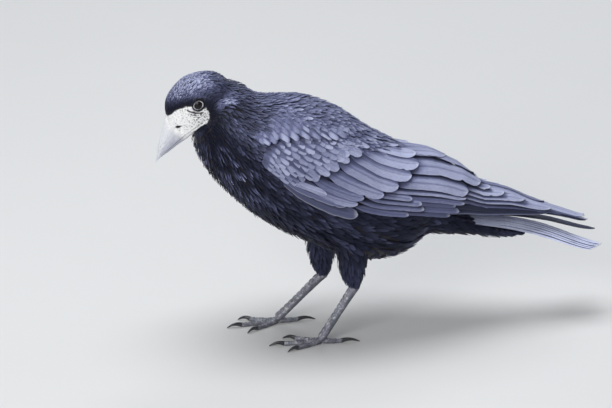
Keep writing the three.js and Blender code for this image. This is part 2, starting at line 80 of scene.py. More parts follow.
# Bill: x, height of the culmen, of the line where the halves meet, of the chin side, and half width.
BILL = np.array([
    (8, 2, -16.4, -22, 13), (20, 6, -16.3, -23, 11.6), (29, 5.8, -16, -22.6, 9.6),
    (37, 2, -15.8, -21.4, 7.8), (46, -3.6, -15.8, -20, 6), (54, -9, -16.2, -18.9, 4.1),
    (61, -14, -17, -18.2, 2.2), (65.5, -17.3, -18.1, -18.3, 0.8),
], float)
NOSTRIL_AT = (28.6, -4.7)
# Envelope of the folded wing: x, height of the lower edge, height of the back line, half width.
WING = np.array([
    (-80, 200, 212, 38), (-70, 187, 219, 50), (-44, 166, 224.5, 57.5), (-17, 146, 220.5, 61),
    (5, 134.5, 212, 62), (18, 131, 203, 62), (40, 128, 186, 59), (64, 125.5, 174.5, 54),
    (96, 120, 165.5, 46), (122, 115.5, 150.5, 37), (140, 111, 134.5, 29), (166, 107, 125, 22),
    (191, 103, 111.5, 15), (211, 98.3, 102.5, 10.5), (240, 89, 91, 7.5),
], float)
# Tail: x, height of its middle, half width, droop of the edge, half of the gap between its halves.
TAIL = np.array([
    (96, 107, 15, 3, 0.4), (140, 100.5, 19, 6.5, 0.4), (190, 89.5, 21, 9, 1), (252, 68.5, 21, 5, 8.5),
], float)
LEGS = {
    "left": dict(knee=np.array([24.0, -27, 104]), heel=np.array([22.0, -30, 55]), foot=np.array([-9, -28, 5.2]),
                 heading=4, inward=1),
    "right": dict(knee=np.array([8.0, 27, 102]), heel=np.array([6, 28, 45.5]), foot=np.array([-37, 27, 5.2]),
                  heading=-3, inward=-1),
}
# Toes: turn from the leg's heading, length, length of the claw, half height.
TOES = {"middle": (0, 35, 12, 2.5), "inner": (27, 26, 10.5, 2.4), "outer": (-27, 27, 9.5, 2.3),
        "hind": (180, 19, 15, 2.6)}
TOE_START = 1.5  # where a toe's middle line starts, ahead of the foot's middle
# Pads of a toe: shares of its length, and how thick it is there.
PADS = [0, .16, .36, .54, .76, .93, 1], [1, 1.05, .9, 1.04, .84, .98, .72]
# Tarsus: share of the way from heel to foot, half width, half depth.
SHANK = np.array([(-0.05, 2.6, 3.2), (0.03, 3.6, 4.6), (0.14, 3.0, 4.1), (0.5, 2.6, 3.6), (0.88, 2.8, 3.7),
                  (0.97, 3.4, 3.8), (1.03, 2.6, 2.8)])
SIDEWAYS = np.array([0, 1.0, 0])
SKIN_VOXEL = 1.6  # mm
LEG_VOXEL = 0.55

# ---- Coat --------------------------------------------------------------------------------------------

SPINE_X = [-108, -89, -38, 14, 66, 134]  # middle height of the body along its length
SPINE_Z = [219, 199, 165, 141, 125, 101]
COAT_DEPTH = 2.4  # how far the skin lies under the tips of the body's feathers
HEAD_COAT_DEPTH = 1.0
COAT_SPACING = 0.235  # distance between roots, as a share of a feather's length
COAT_LEAST_GAP = 0.66  # and never less than this, in mm
VANE_THICK = 0.16  # mm
VANE_CAMBER = 0.16  # droop of a small vane's edges, as a share of its half width
PATCH = 0.003  # size of one small feather's patch on the coat's map
RNG = np.random.default_rng(20)


def unit(v):
    return v / np.maximum(np.linalg.norm(v, axis=-1, keepdims=True), 1e-9)


def smooth(low, high, v):
    t = np.clip((v - low) / (high - low), 0, 1)
    return t * t * (3 - 2 * t)


def row_at_station(table, q):
    """The rows of a table at stations q, on a smooth curve through its rows."""
    q = np.atleast_1d(np.asarray(q, float))
    last = len(table) - 1
    i = np.clip(np.floor(q).astype(int), 0, last - 1)
    f = (q - i)[:, None]
    a, b, c, d = (table[np.clip(i + k, 0, last)] for k in (-1, 0, 1, 2))
    return b + 0.5 * f * (c - a + f * (2 * a - 5 * b + 4 * c - d + f * (3 * (b - c) + d - a)))


def row_at_x(table, x):
    """The same at places x of a table whose rows are sorted by x."""
    x = np.asarray(x, float)
    flat = np.atleast_1d(x).ravel()
    i = np.clip(np.searchsorted(table[:, 0], flat) - 1, 0, len(table) - 2)
    q = i + np.clip((flat - table[i, 0]) / (table[i + 1, 0] - table[i, 0]), 0, 1)
    return row_at_station(table, q).reshape(x.shape + (table.shape[1],))


def head_axes():
    cp, sp, cy, sy = math.cos(HEAD_PITCH), math.sin(HEAD_PITCH), math.cos(HEAD_YAW), math.sin(HEAD_YAW)
    forward = np.array([-cy * cp, -sy * cp, -sp])
    left = np.array([sy, -cy, 0])
    return np.stack([forward, left, np.cross(forward, left)])


HEAD_AXES = head_axes()


def head_to_bird(points):
    return HEAD_AT + np.asarray(points, float) @ HEAD_AXES


def bird_to_head(points):
    return (np.asarray(points, float) - HEAD_AT) @ HEAD_AXES.T


def on_the_head(head, low, high):
    """1 on the head and 0 on the body, changing softly between two places along the head's own x."""
    return smooth(low, high, head[:, 0]) * smooth(31, 26, np.hypot(head[:, 1], head[:, 2] + 1))


def grain(points, size, seed=0):
    """Smooth noise between -1 and 1, with features about `size` mm across."""
    p = np.asarray(points, float) / size + 37.0 * seed + 1000.0
    base = np.floor(p).astype(np.int64)
    f = p - base
    f = f * f * (3 - 2 * f)
    total = np.zeros(p.shape[:-1])
    for corner in range(8):
        step = np.array([(corner >> k) & 1 for k in range(3)])
        cell = base + step
        h = cell[..., 0] * 73856093 ^ cell[..., 1] * 19349663 ^ cell[..., 2] * 83492791
        h = (h ^ (h >> 13)) * 1274126177 & 0x7FFFFFFF
        value = ((h ^ (h >> 16)) & 0xFFFF) / 32767.5 - 1
        total += value * np.prod(np.where(step == 1, f, 1 - f), axis=-1)
    return total


# ---- Meshes ------------------------------------------------------------------------------------------

def place_in_frame(points):
    return (np.asarray(points, float) + (ORIGIN_X, 0, 0)) * 0.001


def mesh_from(name, points, quads, tris=None):
    """A mesh from arrays of corners, in the bird's millimetres."""
    quads = np.asarray(quads, np.int32).reshape(-1, 4)
    tris = np.asarray([] if tris is None else tris, np.int32).reshape(-1, 3)
    corners = np.concatenate([quads.ravel(), tris.ravel()])
    starts = np.concatenate([np.arange(len(quads)) * 4, len(quads) * 4 + np.arange(len(tris)) * 3])
    mesh = bpy.data.meshes.new(name)
    mesh.vertices.add(len(points))
    mesh.vertices.foreach_set("co", place_in_frame(points).astype(np.float32).ravel())
    mesh.loops.add(len(corners))
    mesh.loops.foreach_set("vertex_index", corners)
    mesh.polygons.add(len(starts))
    mesh.polygons.foreach_set("loop_start", starts.astype(np.int32))
    mesh.update(calc_edges=True)
    mesh.polygons.foreach_set("use_smooth", np.ones(len(starts), bool))
    return mesh


def add_uv(mesh, name, per_vertex):
    corners = np.empty(len(mesh.loops), np.int32)
    mesh.loops.foreach_get("vertex_index", corners)
    layer = mesh.uv_layers.new(name=name)
    layer.data.foreach_set("uv", np.asarray(per_vertex, np.float32)[corners].ravel())


def add_values(mesh, name, values, kind="FLOAT"):
    attribute = mesh.attributes.new(name, kind, "POINT")
    attribute.data.foreach_set("value" if kind == "FLOAT" else "vector", np.asarray(values, np.float32).ravel())


def edge_ends(mesh):
    ends = np.empty(len(mesh.edges) * 2, np.int32)
    mesh.edges.foreach_get("vertices", ends)
    return ends.reshape(-1, 2)


def sharpen_rims(mesh, rim):
    """Marks the edges between points of the rim as sharp."""
    attribute = mesh.attributes.new("sharp_edge", "BOOLEAN", "EDGE")
    attribute.data.foreach_set("value", rim[edge_ends(mesh)].all(axis=1))


def add_object(name, data):
    thing = bpy.data.objects.new(name, data)
    bpy.context.scene.collection.objects.link(thing)
    return thing


def evaluated_mesh(thing):
    """The mesh that an object's modifiers make. The object itself is removed."""
    depsgraph = bpy.context.evaluated_depsgraph_get()
    mesh = bpy.data.meshes.new_from_object(thing.evaluated_get(depsgraph))
    bpy.data.objects.remove(thing)
    return mesh


def put(mesh, material, body="root"):
    """Adds a finished mesh to the scene as a piece of the bird."""
    mesh.materials.clear()
    mesh.materials.append(material)
    piece = add_object(mesh.name, mesh)
    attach(piece, body)
    return piece


def loft_faces(rings, segments):
    """Quads of a closed tube of rings, with a fan to a middle point at each end."""
    k = np.arange(segments)
    nxt = (k + 1) % segments
    r = np.arange(rings - 1)[:, None] * segments
    quads = np.stack([r + k, r + nxt, r + segments + nxt, r + segments + k], axis=-1).reshape(-1, 4)
    middle = rings * segments
    last = middle - segments
    tris = np.concatenate([np.stack([np.full(segments, middle), nxt, k], axis=-1),
                           np.stack([np.full(segments, middle + 1), last + k, last + nxt], axis=-1)])
    return quads, tris


def loft(rings):
    """Points and faces of a closed tube through rings (m, n, 3)."""
    m, n, _ = rings.shape
    points = np.concatenate([rings.reshape(-1, 3), rings[0].mean(0)[None], rings[-1].mean(0)[None]])
    quads, tris = loft_faces(m, n)
    centre = rings.mean(axis=(0, 1))
    a, b, c = (points[quads[:, i]] for i in range(3))
    outward = np.einsum("ij,ij->i", np.cross(b - a, c - a), (a + c) / 2 - centre).sum()
    if outward < 0:
        quads, tris = quads[:, ::-1], tris[:, ::-1]
    return points, quads, tris


def oval(centre, side, up, wide, above, below, segments, power=2.15):
    angle = np.linspace(0, 2 * np.pi, segments, endpoint=False)
    c, s = np.cos(angle), np.sin(angle)
    across = np.sign(c) * np.abs(c) ** (2 / power) * wide
    along = np.sign(s) * np.abs(s) ** (2 / power) * np.where(s > 0, above, below)
    return centre + across[:, None] * side + along[:, None] * up


def section_rings(table, stations, segments):
    rings = []
    for x, z, lean, above, below, wide in row_at_station(table, stations):
        up = np.array([math.sin(math.radians(lean)), 0, math.cos(math.radians(lean))])
        rings.append(oval(np.array([x, 0, z]), SIDEWAYS, up, wide, above, below, segments))
    return np.array(rings)


def tube_rings(path, wide, deep, side, segments, floor=None):
    """Rings of a limb through points, with its half width along `side` and its half depth."""
    path = np.asarray(path, float)
    rings = []
    for i, at in enumerate(path):
        along = unit(path[min(i + 1, len(path) - 1)] - path[max(i - 1, 0)])
        up = unit(np.cross(along, side))
        rings.append(oval(at, side, up, wide[i], deep[i], deep[i], segments, 2))
    rings = np.array(rings)
    if floor is not None:
        rings[..., 2] = np.maximum(rings[..., 2], floor)
    return rings


def joined_solids(solids):
    points, quads, tris, count = [], [], [], 0
    for p, q, t in solids:
        points.append(p)
        quads.append(q + count)
        tris.append(t + count)
        count += len(p)
    return np.concatenate(points), np.concatenate(quads), np.concatenate(tris)


def remeshed(name, solids, voxel_mm, smoothing):
    """One closed skin round overlapping solids."""
    source = add_object(name, mesh_from(name, *joined_solids(solids)))
    voxels = source.modifiers.new("voxels", "REMESH")
    voxels.mode = "VOXEL"
    voxels.voxel_size = voxel_mm * 0.001
    voxels.use_smooth_shade = True
    relax = source.modifiers.new("relax", "SMOOTH")
    relax.iterations = smoothing
    relax.factor = 0.5
    old = source.data
    mesh = evaluated_mesh(source)
    bpy.data.meshes.remove(old)
    mesh.name = name
    return mesh


def read_vectors(items, key):
    values = np.empty(len(items) * 3, np.float32)
    items.foreach_get(key, values)
    return values.reshape(-1, 3).astype(float)


def read_points(mesh):
    return read_vectors(mesh.vertices, "co") * 1000 - (ORIGIN_X, 0, 0)


def write_points(mesh, points):
    mesh.vertices.foreach_set("co", place_in_frame(points).astype(np.float32).ravel())
    mesh.update()


def read_normals(mesh):
    return read_vectors(mesh.vertex_normals, "vector")


# ---- Materials ---------------------------------------------------------------------------------------

class Wire:
    """An output of one of a material's nodes. Sums with it add a node each."""

    def __init__(self, paint, output):
        self.paint, self.output = paint, output

    def __add__(self, other):
        return self.paint.sum("ADD", self, other)

    def __sub__(self, other):
        return self.paint.sum("SUBTRACT", self, other)

    def __mul__(self, other):
        return self.paint.sum("MULTIPLY", self, other)


class Paint:
    """A node material that is built up step by step, from wires."""

    def __init__(self, name, roughness=0.5, ior=1.5, specular=0.5, tint=(1, 1, 1), sheen=0.0, sheen_tint=(1, 1, 1),
                 sheen_roughness=0.5, coat=0.0, coat_roughness=0.1):
        self.material = bpy.data.materials.new(name)
        self.material.use_nodes = True
        self.tree = self.material.node_tree
        self.shader = self.tree.nodes["Principled BSDF"]
        for socket, value in {
                "Roughness": roughness, "IOR": ior, "Specular IOR Level": specular, "Specular Tint": (*tint, 1),
                "Sheen Weight": sheen, "Sheen Tint": (*sheen_tint, 1), "Sheen Roughness": sheen_roughness,
                "Coat Weight": coat, "Coat Roughness": coat_roughness}.items():
            self.shader.inputs[socket].default_value = value

    def feed(self, socket, value):
        if isinstance(value, Wire):
            self.tree.links.new(value.output, socket)
        else:
            socket.default_value = value

    def node(self, kind, **inputs):
        node = self.tree.nodes.new(kind)
        for key, value in inputs.items():
            self.feed(node.inputs[key.replace("_", " ")], value)
        return node

    def wire(self, kind, output, **inputs):
        return Wire(self, self.node(kind, **inputs).outputs[output])

    def place(self):
        return self.wire("ShaderNodeTexCoord", "Object")

    def value(self, name):
        node = self.node("ShaderNodeAttribute")
        node.attribute_name = name
        return Wire(self, node.outputs["Fac"])

    def uv(self, name):
        node = self.node("ShaderNodeUVMap")
        node.uv_map = name
        return Wire(self, node.outputs["UV"])

    def noise(self, where, scale, detail=3.0, roughness=0.55):
        return self.wire("ShaderNodeTexNoise", "Fac", Vector=where, Scale=scale, Detail=detail, Roughness=roughness)

    def cells(self, where, scale):
        return self.wire("ShaderNodeTexVoronoi", "Distance", Vector=where, Scale=scale)

    def stretched(self, where, scale):
        return self.wire("ShaderNodeMapping", "Vector", Vector=where, Scale=scale)

    def sum(self, kind, a, b=0.0, clamp=False):
        node = self.node("ShaderNodeMath")
        node.operation = kind
        node.use_clamp = clamp
        self.feed(node.inputs[0], a)
        self.feed(node.inputs[1], b)
        return Wire(self, node.outputs[0])

    def ramp(self, value, low, high, out_low=0.0, out_high=1.0, kind="SMOOTHSTEP"):
        node = self.node("ShaderNodeMapRange")
        node.interpolation_type = kind
        for index, v in enumerate((value, low, high, out_low, out_high)):
            self.feed(node.inputs[index], v)
        return Wire(self, node.outputs["Result"])

    def mix(self, factor, a, b):
        node = self.node("ShaderNodeMix")
        node.data_type = "RGBA"
        self.feed(node.inputs["Factor"], factor)
        for socket, colour in ((node.inputs[6], a), (node.inputs[7], b)):
            self.feed(socket, colour if isinstance(colour, Wire) else (*colour, 1))
        return Wire(self, node.outputs[2])

    def chalk(self, blotch, flakes, flaking):
        """The whitish skin of the face and of the bill's base."""
        skin = self.mix(self.ramp(blotch, 0.35, 0.68), (0.95, 0.95, 0.96), (0.74, 0.75, 0.79))
        return self.mix(self.ramp(flakes, 0.30, 0.62, 0.0, flaking), skin, (0.97, 0.97, 0.97))

    def bump(self, height, strength, distance_mm):
        self.feed(self.shader.inputs["Normal"], self.wire("ShaderNodeBump", "Normal", Height=height,
                                                          Strength=strength, Distance=distance_mm * 0.001))

    def colour(self, value):
        self.feed(self.shader.inputs["Base Color"], value)

    def rough(self, value):
        self.feed(self.shader.inputs["Roughness"], value)


INK = (0.0042, 0.0050, 0.0140)
SLATE = (0.125, 0.136, 0.252)
SILVER = (0.445, 0.475, 0.660)
PALE = (0.640, 0.660, 0.740)


def feather_paint(name, gloss, sheen=0.15, shine=0.5, light=SILVER):
    """Feather: slate over ink by the vane's tone, which carries painted sheen and shade, pale at its fringe, where
    painted highlights lie, with fine slanting barbs.
    """
    paint = Paint(name, roughness=gloss, ior=1.5, specular=shine, tint=(0.66, 0.72, 1.0),
                  sheen=sheen, sheen_tint=(0.50, 0.56, 1.0), sheen_roughness=0.45)
    tone, fringe = paint.value("tone"), paint.value("fringe")
    vane = paint.uv("Vane")
    split = paint.node("ShaderNodeSeparateXYZ", Vector=vane)
    across, along = (Wire(paint, split.outputs[k]) for k in (0, 1))
    slant = along - paint.sum("ABSOLUTE", across) * 1.3
    barbs = paint.sum("SINE", slant * 95.0 + paint.noise(vane, 6.0, 2.0) * 9.0)
    streak = paint.noise(paint.stretched(vane, (16, 3.0, 1)), 1.0, 3.0, 0.6)
    lines = paint.noise(paint.stretched(vane, (34, 0.7, 1)), 1.0, 2.0, 0.5)
    cloud = paint.noise(paint.place(), 55.0)
    vary = (streak - 0.5) * 0.55 + (lines - 0.5) * 0.85 + (cloud - 0.5) * 0.30 + barbs * 0.05
    level = paint.sum("MULTIPLY", tone, vary + 1.0, clamp=True)
    base = paint.mix(paint.ramp(level, 0.0, 0.5, kind="LINEAR"), INK, SLATE)
    base = paint.mix(paint.ramp(level, 0.5, 1.0, kind="LINEAR"), base, light)
    paint.colour(paint.mix(fringe, base, PALE))
    paint.rough(paint.ramp(streak, 0.2, 0.8, gloss - 0.07, gloss + 0.09))
    paint.bump(barbs * 0.5 + streak * 0.9, 0.55, 0.12)
    return paint.material


def skin_paint():
    """Dark under the coat; bare, chalky and scabby on the face, with painted shade in its folds, crease and nostril
    and under the chin.
    """
    paint = Paint("face_and_body_skin", roughness=0.62, ior=1.4, specular=0.35, sheen=0.05)
    where = paint.place()
    bare, relief = paint.value("bare"), paint.value("relief")
    fine = paint.noise(where, 900.0, 4.0, 0.65)
    flakes = paint.cells(where, 560.0)
    blotch = paint.noise(where, 210.0, 3.0, 0.6)
    speck = paint.noise(where, 640.0, 2.0, 0.5)
    chalk = paint.chalk(blotch, flakes, 0.8)
    dark_specks = paint.sum("ADD", paint.ramp(speck, 0.54, 0.60), paint.ramp(fine, 0.61, 0.70, 0.0, 0.9), clamp=True)
    # Dark specks on the chalk, fewer on the raised scabs and more in the hollows between them.
    dark_specks = dark_specks * paint.ramp(relief + paint.value("scurf"), -0.2, 0.5, 1.0, 0.10)
    chalk = paint.mix(dark_specks, chalk, (0.020, 0.021, 0.028))
    # Painted shade under the chin, along the gape's crease, in the folds under the eye and in the nostril, and a
    # dark ring round the lids.
    chalk = paint.mix(paint.value("painted_face_shade"), chalk, (0.012, 0.012, 0.018))
    dark = paint.mix(blotch, (0.009, 0.009, 0.013), (0.020, 0.020, 0.030))
    paint.colour(paint.mix(bare, dark, chalk))
    paint.rough(paint.ramp(fine, 0.3, 0.7, 0.5, 0.75))
    paint.bump(flakes * -0.6 + fine, 0.7, 0.25)
    return paint.material


def bill_paint(name):
    """Horn: chalky at the base, lavender grey to the tip, with fine lengthwise lines and a worn edge; lighter
    towards the culmen as painted light, with painted shade in the nostril pit and along the lower edge of the lower
    half.
    """
    paint = Paint(name, roughness=0.4, ior=1.5, specular=0.5, coat=0.12, coat_roughness=0.3)
    where, along = paint.place(), paint.value("along")
    line = paint.uv("Vane")
    strands = paint.noise(paint.stretched(line, (46, 1.1, 1)), 1.0, 4.0, 0.6)
    blotch = paint.noise(where, 190.0, 3.0)
    fine = paint.noise(where, 1000.0, 3.0, 0.6)
    flakes = paint.cells(where, 560.0)
    low = paint.value("low")
    # Painted light: the upper half is lighter towards the culmen and darker down towards the line where the halves
    # meet.
    light = paint.mix(paint.ramp(strands, 0.30, 0.72), (0.66, 0.68, 0.74), (0.80, 0.81, 0.85))
    deep = paint.mix(paint.ramp(strands, 0.30, 0.72), (0.340, 0.355, 0.450), (0.500, 0.515, 0.610))
    horn = paint.mix(paint.ramp(low + strands * 0.25, 0.30, 1.05), light, deep)
    horn = paint.mix(paint.ramp(along, 0.72, 0.98, 0.0, 0.6), horn, (0.70, 0.71, 0.76))
    scratch = paint.noise(paint.stretched(line, (120, 2.2, 1)), 1.0, 2.0, 0.5)
    horn = paint.mix(paint.ramp(scratch, 0.56, 0.64, 0.0, 0.6) * paint.ramp(along, 0.35, 0.75), horn,
                     (0.16, 0.165, 0.21))
    border = along + (blotch - 0.5) * 0.28
    base = paint.mix(paint.ramp(border, 0.16, 0.42), paint.chalk(blotch, flakes, 0.7), horn)
    dark_specks = paint.ramp(fine, 0.60, 0.72) * paint.ramp(border, 0.2, 0.6, 0.8, 0.10)
    base = paint.mix(dark_specks, base, (0.05, 0.05, 0.06))
    # Painted shade in the nostril pit and along the lower edge of the lower half.
    paint.colour(paint.mix(paint.value("pit"), base, (0.010, 0.010, 0.013)))
    paint.rough(paint.ramp(border, 0.2, 0.6, 0.62, 0.40))
    paint.bump(strands * 0.8 + fine * 0.35, 0.45, 0.18)
    return paint.material


def leg_paint(name):
    """Leg skin: near black, greyed on the side that faces forward and up, and on the edges of the scutes."""
    paint = Paint(name, roughness=0.5, ior=1.45, specular=0.4)
    where, pale_front = paint.place(), paint.value("pale_front")
    fine = paint.noise(where, 700.0, 4.0, 0.6)
    blotch = paint.noise(where, 160.0, 3.0)
    scales = paint.cells(where, 520.0)
    flakes = paint.noise(where, 420.0, 3.0, 0.6)
    skin = paint.mix(blotch, (0.045, 0.046, 0.060), (0.120, 0.124, 0.155))
    pale = paint.mix(fine, (0.20, 0.205, 0.255), (0.38, 0.39, 0.46))
    pale = paint.mix(paint.ramp(flakes, 0.54, 0.62, 0.0, 0.85), pale, (0.66, 0.67, 0.71))
    base = paint.mix(pale_front * paint.ramp(blotch, 0.30, 0.62, 0.35, 1.0), skin, pale)
    paint.colour(paint.mix(paint.ramp(scales, 0.0, 0.25, 0.45, 0.0), base, (0.02, 0.02, 0.026)))
    paint.rough(paint.ramp(fine, 0.3, 0.7, 0.42, 0.66))
    paint.bump(scales + fine * 0.5, 0.6, 0.22)
    return paint.material


def claw_paint():
    paint = Paint("claw_horn", roughness=0.3, ior=1.5, coat=0.2, coat_roughness=0.2)
    where = paint.place()
    lines = paint.noise(paint.stretched(where, (180, 900, 900)), 1.0, 3.0)
    paint.colour(paint.mix(lines, (0.012, 0.012, 0.015), (0.055, 0.056, 0.066)))
    paint.rough(paint.ramp(lines, 0.3, 0.7, 0.24, 0.42))
    paint.bump(lines, 0.3, 0.1)
    return paint.material


def eye_paint():
    """Eye: black pupil, dark brown iris with fine spokes, wet all over."""
    paint = Paint("eye_wet", roughness=0.02, ior=1.38, specular=0.4)
    ring = paint.value("ring")
    spokes = paint.noise(paint.stretched(paint.uv("Vane"), (60, 3, 1)), 1.0, 3.0)
    iris = paint.mix(spokes, (0.004, 0.003, 0.002), (0.015, 0.009, 0.006))
    base = paint.mix(paint.ramp(ring, 0.27, 0.33), (0.002, 0.002, 0.003), iris)
    paint.colour(paint.mix(paint.ramp(ring, 0.55, 0.66), base, (0.006, 0.006, 0.008)))
    return paint.material


def lid_paint():
    paint = Paint("eyelid_skin", roughness=0.5, ior=1.4)
    fine = paint.noise(paint.place(), 1500.0, 3.0)
    dark = paint.mix(fine, (0.020, 0.021, 0.028), (0.070, 0.073, 0.088))
    pale = paint.mix(fine, (0.36, 0.38, 0.44), (0.74, 0.75, 0.79))
    paint.colour(paint.mix(paint.value("pale"), dark, pale))
    paint.rough(paint.ramp(fine, 0.3, 0.7, 0.4, 0.6))
    paint.bump(fine, 0.5, 0.12)
    return paint.material


def floor_paint():
    paint = Paint("studio_floor", roughness=0.85, specular=0.2)
    mottle = paint.noise(paint.place(), 3.0, 4.0)
    paint.colour(paint.mix(mottle, (0.70, 0.70, 0.695), (0.74, 0.74, 0.735)))
    return paint.material


# ---- Skin --------------------------------------------------------------------------------------------

# Edge of the bare face in the head's frame, seen from the side.
BARE_FACE = np.array([
    (50, 9), (31, 8), (28, 7.6), (20.8, 9.4), (14.8, 8.6), (10.1, 7.0), (6.6, 4.0), (4.8, 0), (3.0, -4.0),
    (-1.6, -6.3), (0.4, -12.8), (4.4, -17.6), (9.0, -19.4), (16, -18.9), (23, -18.3), (30, -18.2), (34, -19),
    (50, -25),
], float)
FACE_REACH = -6.0  # the refined part of the skin is ahead of this, in the head's frame
FACE_BACK = -14.0  # and no bare skin lies behind this


def distance_inside(polygon, points):
    """Signed distance of 2-D points to a polygon, positive inside."""
    best = np.full(len(points), 1e9)
    inside = np.zeros(len(points), bool)
    for a, b in zip(polygon, np.roll(polygon, -1, axis=0)):
        edge = b - a
        t = np.clip(((points - a) @ edge) / (edge @ edge), 0, 1)
        best = np.minimum(best, np.linalg.norm(points - a - t[:, None] * edge, axis=1))
        crosses = (a[1] > points[:, 1]) != (b[1] > points[:, 1])
        rise = np.where(edge[1] == 0, 1e-9, edge[1])
        inside ^= crosses & (points[:, 0] < a[0] + (points[:, 1] - a[1]) * edge[0] / rise)
    return np.where(inside, best, -best)


def bareness(head_points):
    """How far inside the bare face a point of the head is, in mm, with an uneven edge."""
    side = head_points[:, [0, 2]]
    return distance_inside(BARE_FACE, side) + 0.8 * grain(head_points, 2.2, 3) + 0.5 * grain(head_points, 1.1, 4)


def nostril_shape(points):
    """How far places of the head are from the middle of the nostril, 1 at its rim."""
    ahead, rise = points[:, 0] - NOSTRIL_AT[0], points[:, 2] - NOSTRIL_AT[1]
    back = smooth(0, -3, ahead)
    return np.hypot(ahead / (2.2 + 1.4 * back), (rise - 0.12 * ahead) / (1.5 - 0.6 * back))


def bill_section(x, half, segments, grow=0.0, taper=1.0):
    """A section of the bill or of one half of it: a lens from chin to culmen, widest where the halves meet."""
    _, top, cut, base, wide = row_at_x(BILL, x)
    angle = np.linspace(0, 2 * np.pi, segments, endpoint=False)
    above = np.sin(angle) > 0
    gap = {"upper": 0.15, "lower": -0.15, "both": 0.0}[half]
    away = above if half == "lower" else (~above if half == "upper" else np.zeros(segments, bool))
    share = np.where(away, 0, np.abs(np.sin(angle)))
    narrow = 1 - np.where(above, 0.42, 0.30) * share ** 2
    far = np.where(above, top + grow, base - grow)
    y = np.cos(angle) * (wide * taper + grow) * narrow
    z = (cut + gap) + (far - cut - gap) * share
    return np.stack([np.full(segments, x), y, z], axis=-1)


def trouser_path(leg):
    """Middle line of the feathered thigh, with its half width and half depth."""
    knee, heel = leg["knee"], leg["heel"]
    q = np.array([0, 0.18, 0.35, 0.5, 0.62, 0.74, 0.84, 0.93, 1.0, 1.05])
    marks = [0, .35, .62, .84, .97, 1.05]
    wide = np.interp(q, marks, [16, 14.8, 11.6, 8.8, 6.6, 4.2])
    deep = np.interp(q, marks, [19, 16.6, 13.2, 10.2, 7.4, 4.4])
    path = knee + (heel - knee) * q[:, None]
    path[:, 0] -= 3 * np.sin(np.pi * np.minimum(1, q)) + 2 * q
    return path, wide, deep


def flesh_solids():
    """Trunk and neck, rump, head, a sleeve round the base of the bill, and the thighs."""
    sleeve_x = np.linspace(12, 34, 22)
    sleeve_grow = np.interp(sleeve_x, [12, 24, 29, 34], [0.5, 0.45, 0.05, -0.9])
    sleeve = np.array([bill_section(x, "both", 40, grow) for x, grow in zip(sleeve_x, sleeve_grow)])
    body, rump, head = (section_rings(table, np.linspace(0, len(table) - 1, count), segments)
                        for table, count, segments in ((BODY, 60, 64), (RUMP, 30, 40), (HEAD, 40, 64)))
    thighs = [tube_rings(*trouser_path(leg), SIDEWAYS, 32) for leg in LEGS.values()]
    return [loft(rings) for rings in (body, rump, head_to_bird(head), head_to_bird(sleeve), *thighs)]


def refine_face(mesh):
    """Splits the face's quads twice, so that lids, folds and scabs have mesh to stand on."""
    for reach in (FACE_REACH, FACE_REACH + 1.5):
        build = bmesh.new()
        build.from_mesh(mesh)
        points = bird_to_head(read_points(mesh))
        x, y, z = points.T
        chosen = (x > reach) & (z < 13) & (z > -27) & (np.abs(y) < 24)
        build.verts.ensure_lookup_table()
        edges = [e for e in build.edges if chosen[e.verts[0].index] and chosen[e.verts[1].index]]
        bmesh.ops.subdivide_edges(build, edges=edges, cuts=1, use_grid_fill=True)
        build.to_mesh(mesh)
        build.free()
    mesh.update()


def relax_face(mesh, passes):
    """Evens out the mesh of the face, which the splitting leaves stepped."""
    points = read_points(mesh)
    head = bird_to_head(points)
    moved = on_the_head(head, FACE_REACH, FACE_REACH + 4) * smooth(15, 11, head[:, 2])
    ends = edge_ends(mesh)
    a, b = ends.T
    count = np.bincount(ends.ravel(), minlength=len(points))[:, None]
    for _ in range(passes):
        total = np.zeros_like(points)
        for axis in range(3):
            total[:, axis] = (np.bincount(a, points[b, axis], len(points))
                              + np.bincount(b, points[a, axis], len(points)))
        points += (total / np.maximum(count, 1) - points) * (0.5 * moved[:, None])
    write_points(mesh, points)


def face_relief(head):
    """Folds, scabs and sockets of the bare face: displacement in mm, and how raised each place is."""
    flat = np.stack([head[:, 0] - EYE_AT[0] - 1.0, head[:, 2] - EYE_AT[2]], axis=-1)
    reach = np.hypot(flat[:, 0], flat[:, 1] * 1.15)
    by_eye = smooth(6, 12, np.abs(head[:, 1]))
    socket = -1.1 * smooth(6.6, 4.2, reach) * by_eye
    brow = 0.8 * np.exp(-((reach - 6.6) / 1.3) ** 2) * by_eye * smooth(-2.5, 2.5, flat[:, 1])
    below = smooth(0.5, -3.0, flat[:, 1]) * smooth(13, 8, reach) * by_eye
    wrinkles = 0.30 * np.sin(reach * 4.2 + 1.6 * grain(head, 4.0, 5)) * below
    scabs = grain(head, 1.5, 1) * 0.16 + np.maximum(grain(head, 2.4, 2) - 0.12, 0) * 0.65
    scabs += np.maximum(grain(head, 0.9, 7) - 0.25, 0) * 0.35
    lores = 0.45 * np.exp(-((head[:, 0] - 21) / 7) ** 2 - ((head[:, 2] + 2) / 7) ** 2)
    cut = row_at_x(BILL, np.clip(head[:, 0], 8, 65))[:, 2]
    gape_line = cut + np.where(head[:, 0] < 16, (head[:, 0] - 16) * 0.16, 0)
    gape = -1.0 * np.exp(-((head[:, 2] - gape_line) / 0.55) ** 2) * smooth(7.5, 11, head[:, 0])
    gape += 0.35 * np.exp(-((np.abs(head[:, 2] - gape_line) - 1.5) / 0.8) ** 2) * smooth(8, 12, head[:, 0])
    gape = gape - 1.3 * smooth(1.1, 0.6, nostril_shape(head)) * smooth(2, 4, np.abs(head[:, 1]))
    return socket + brow + (wrinkles + scabs + lores + gape) * smooth(-0.5, 0.7, bareness(head)), scabs


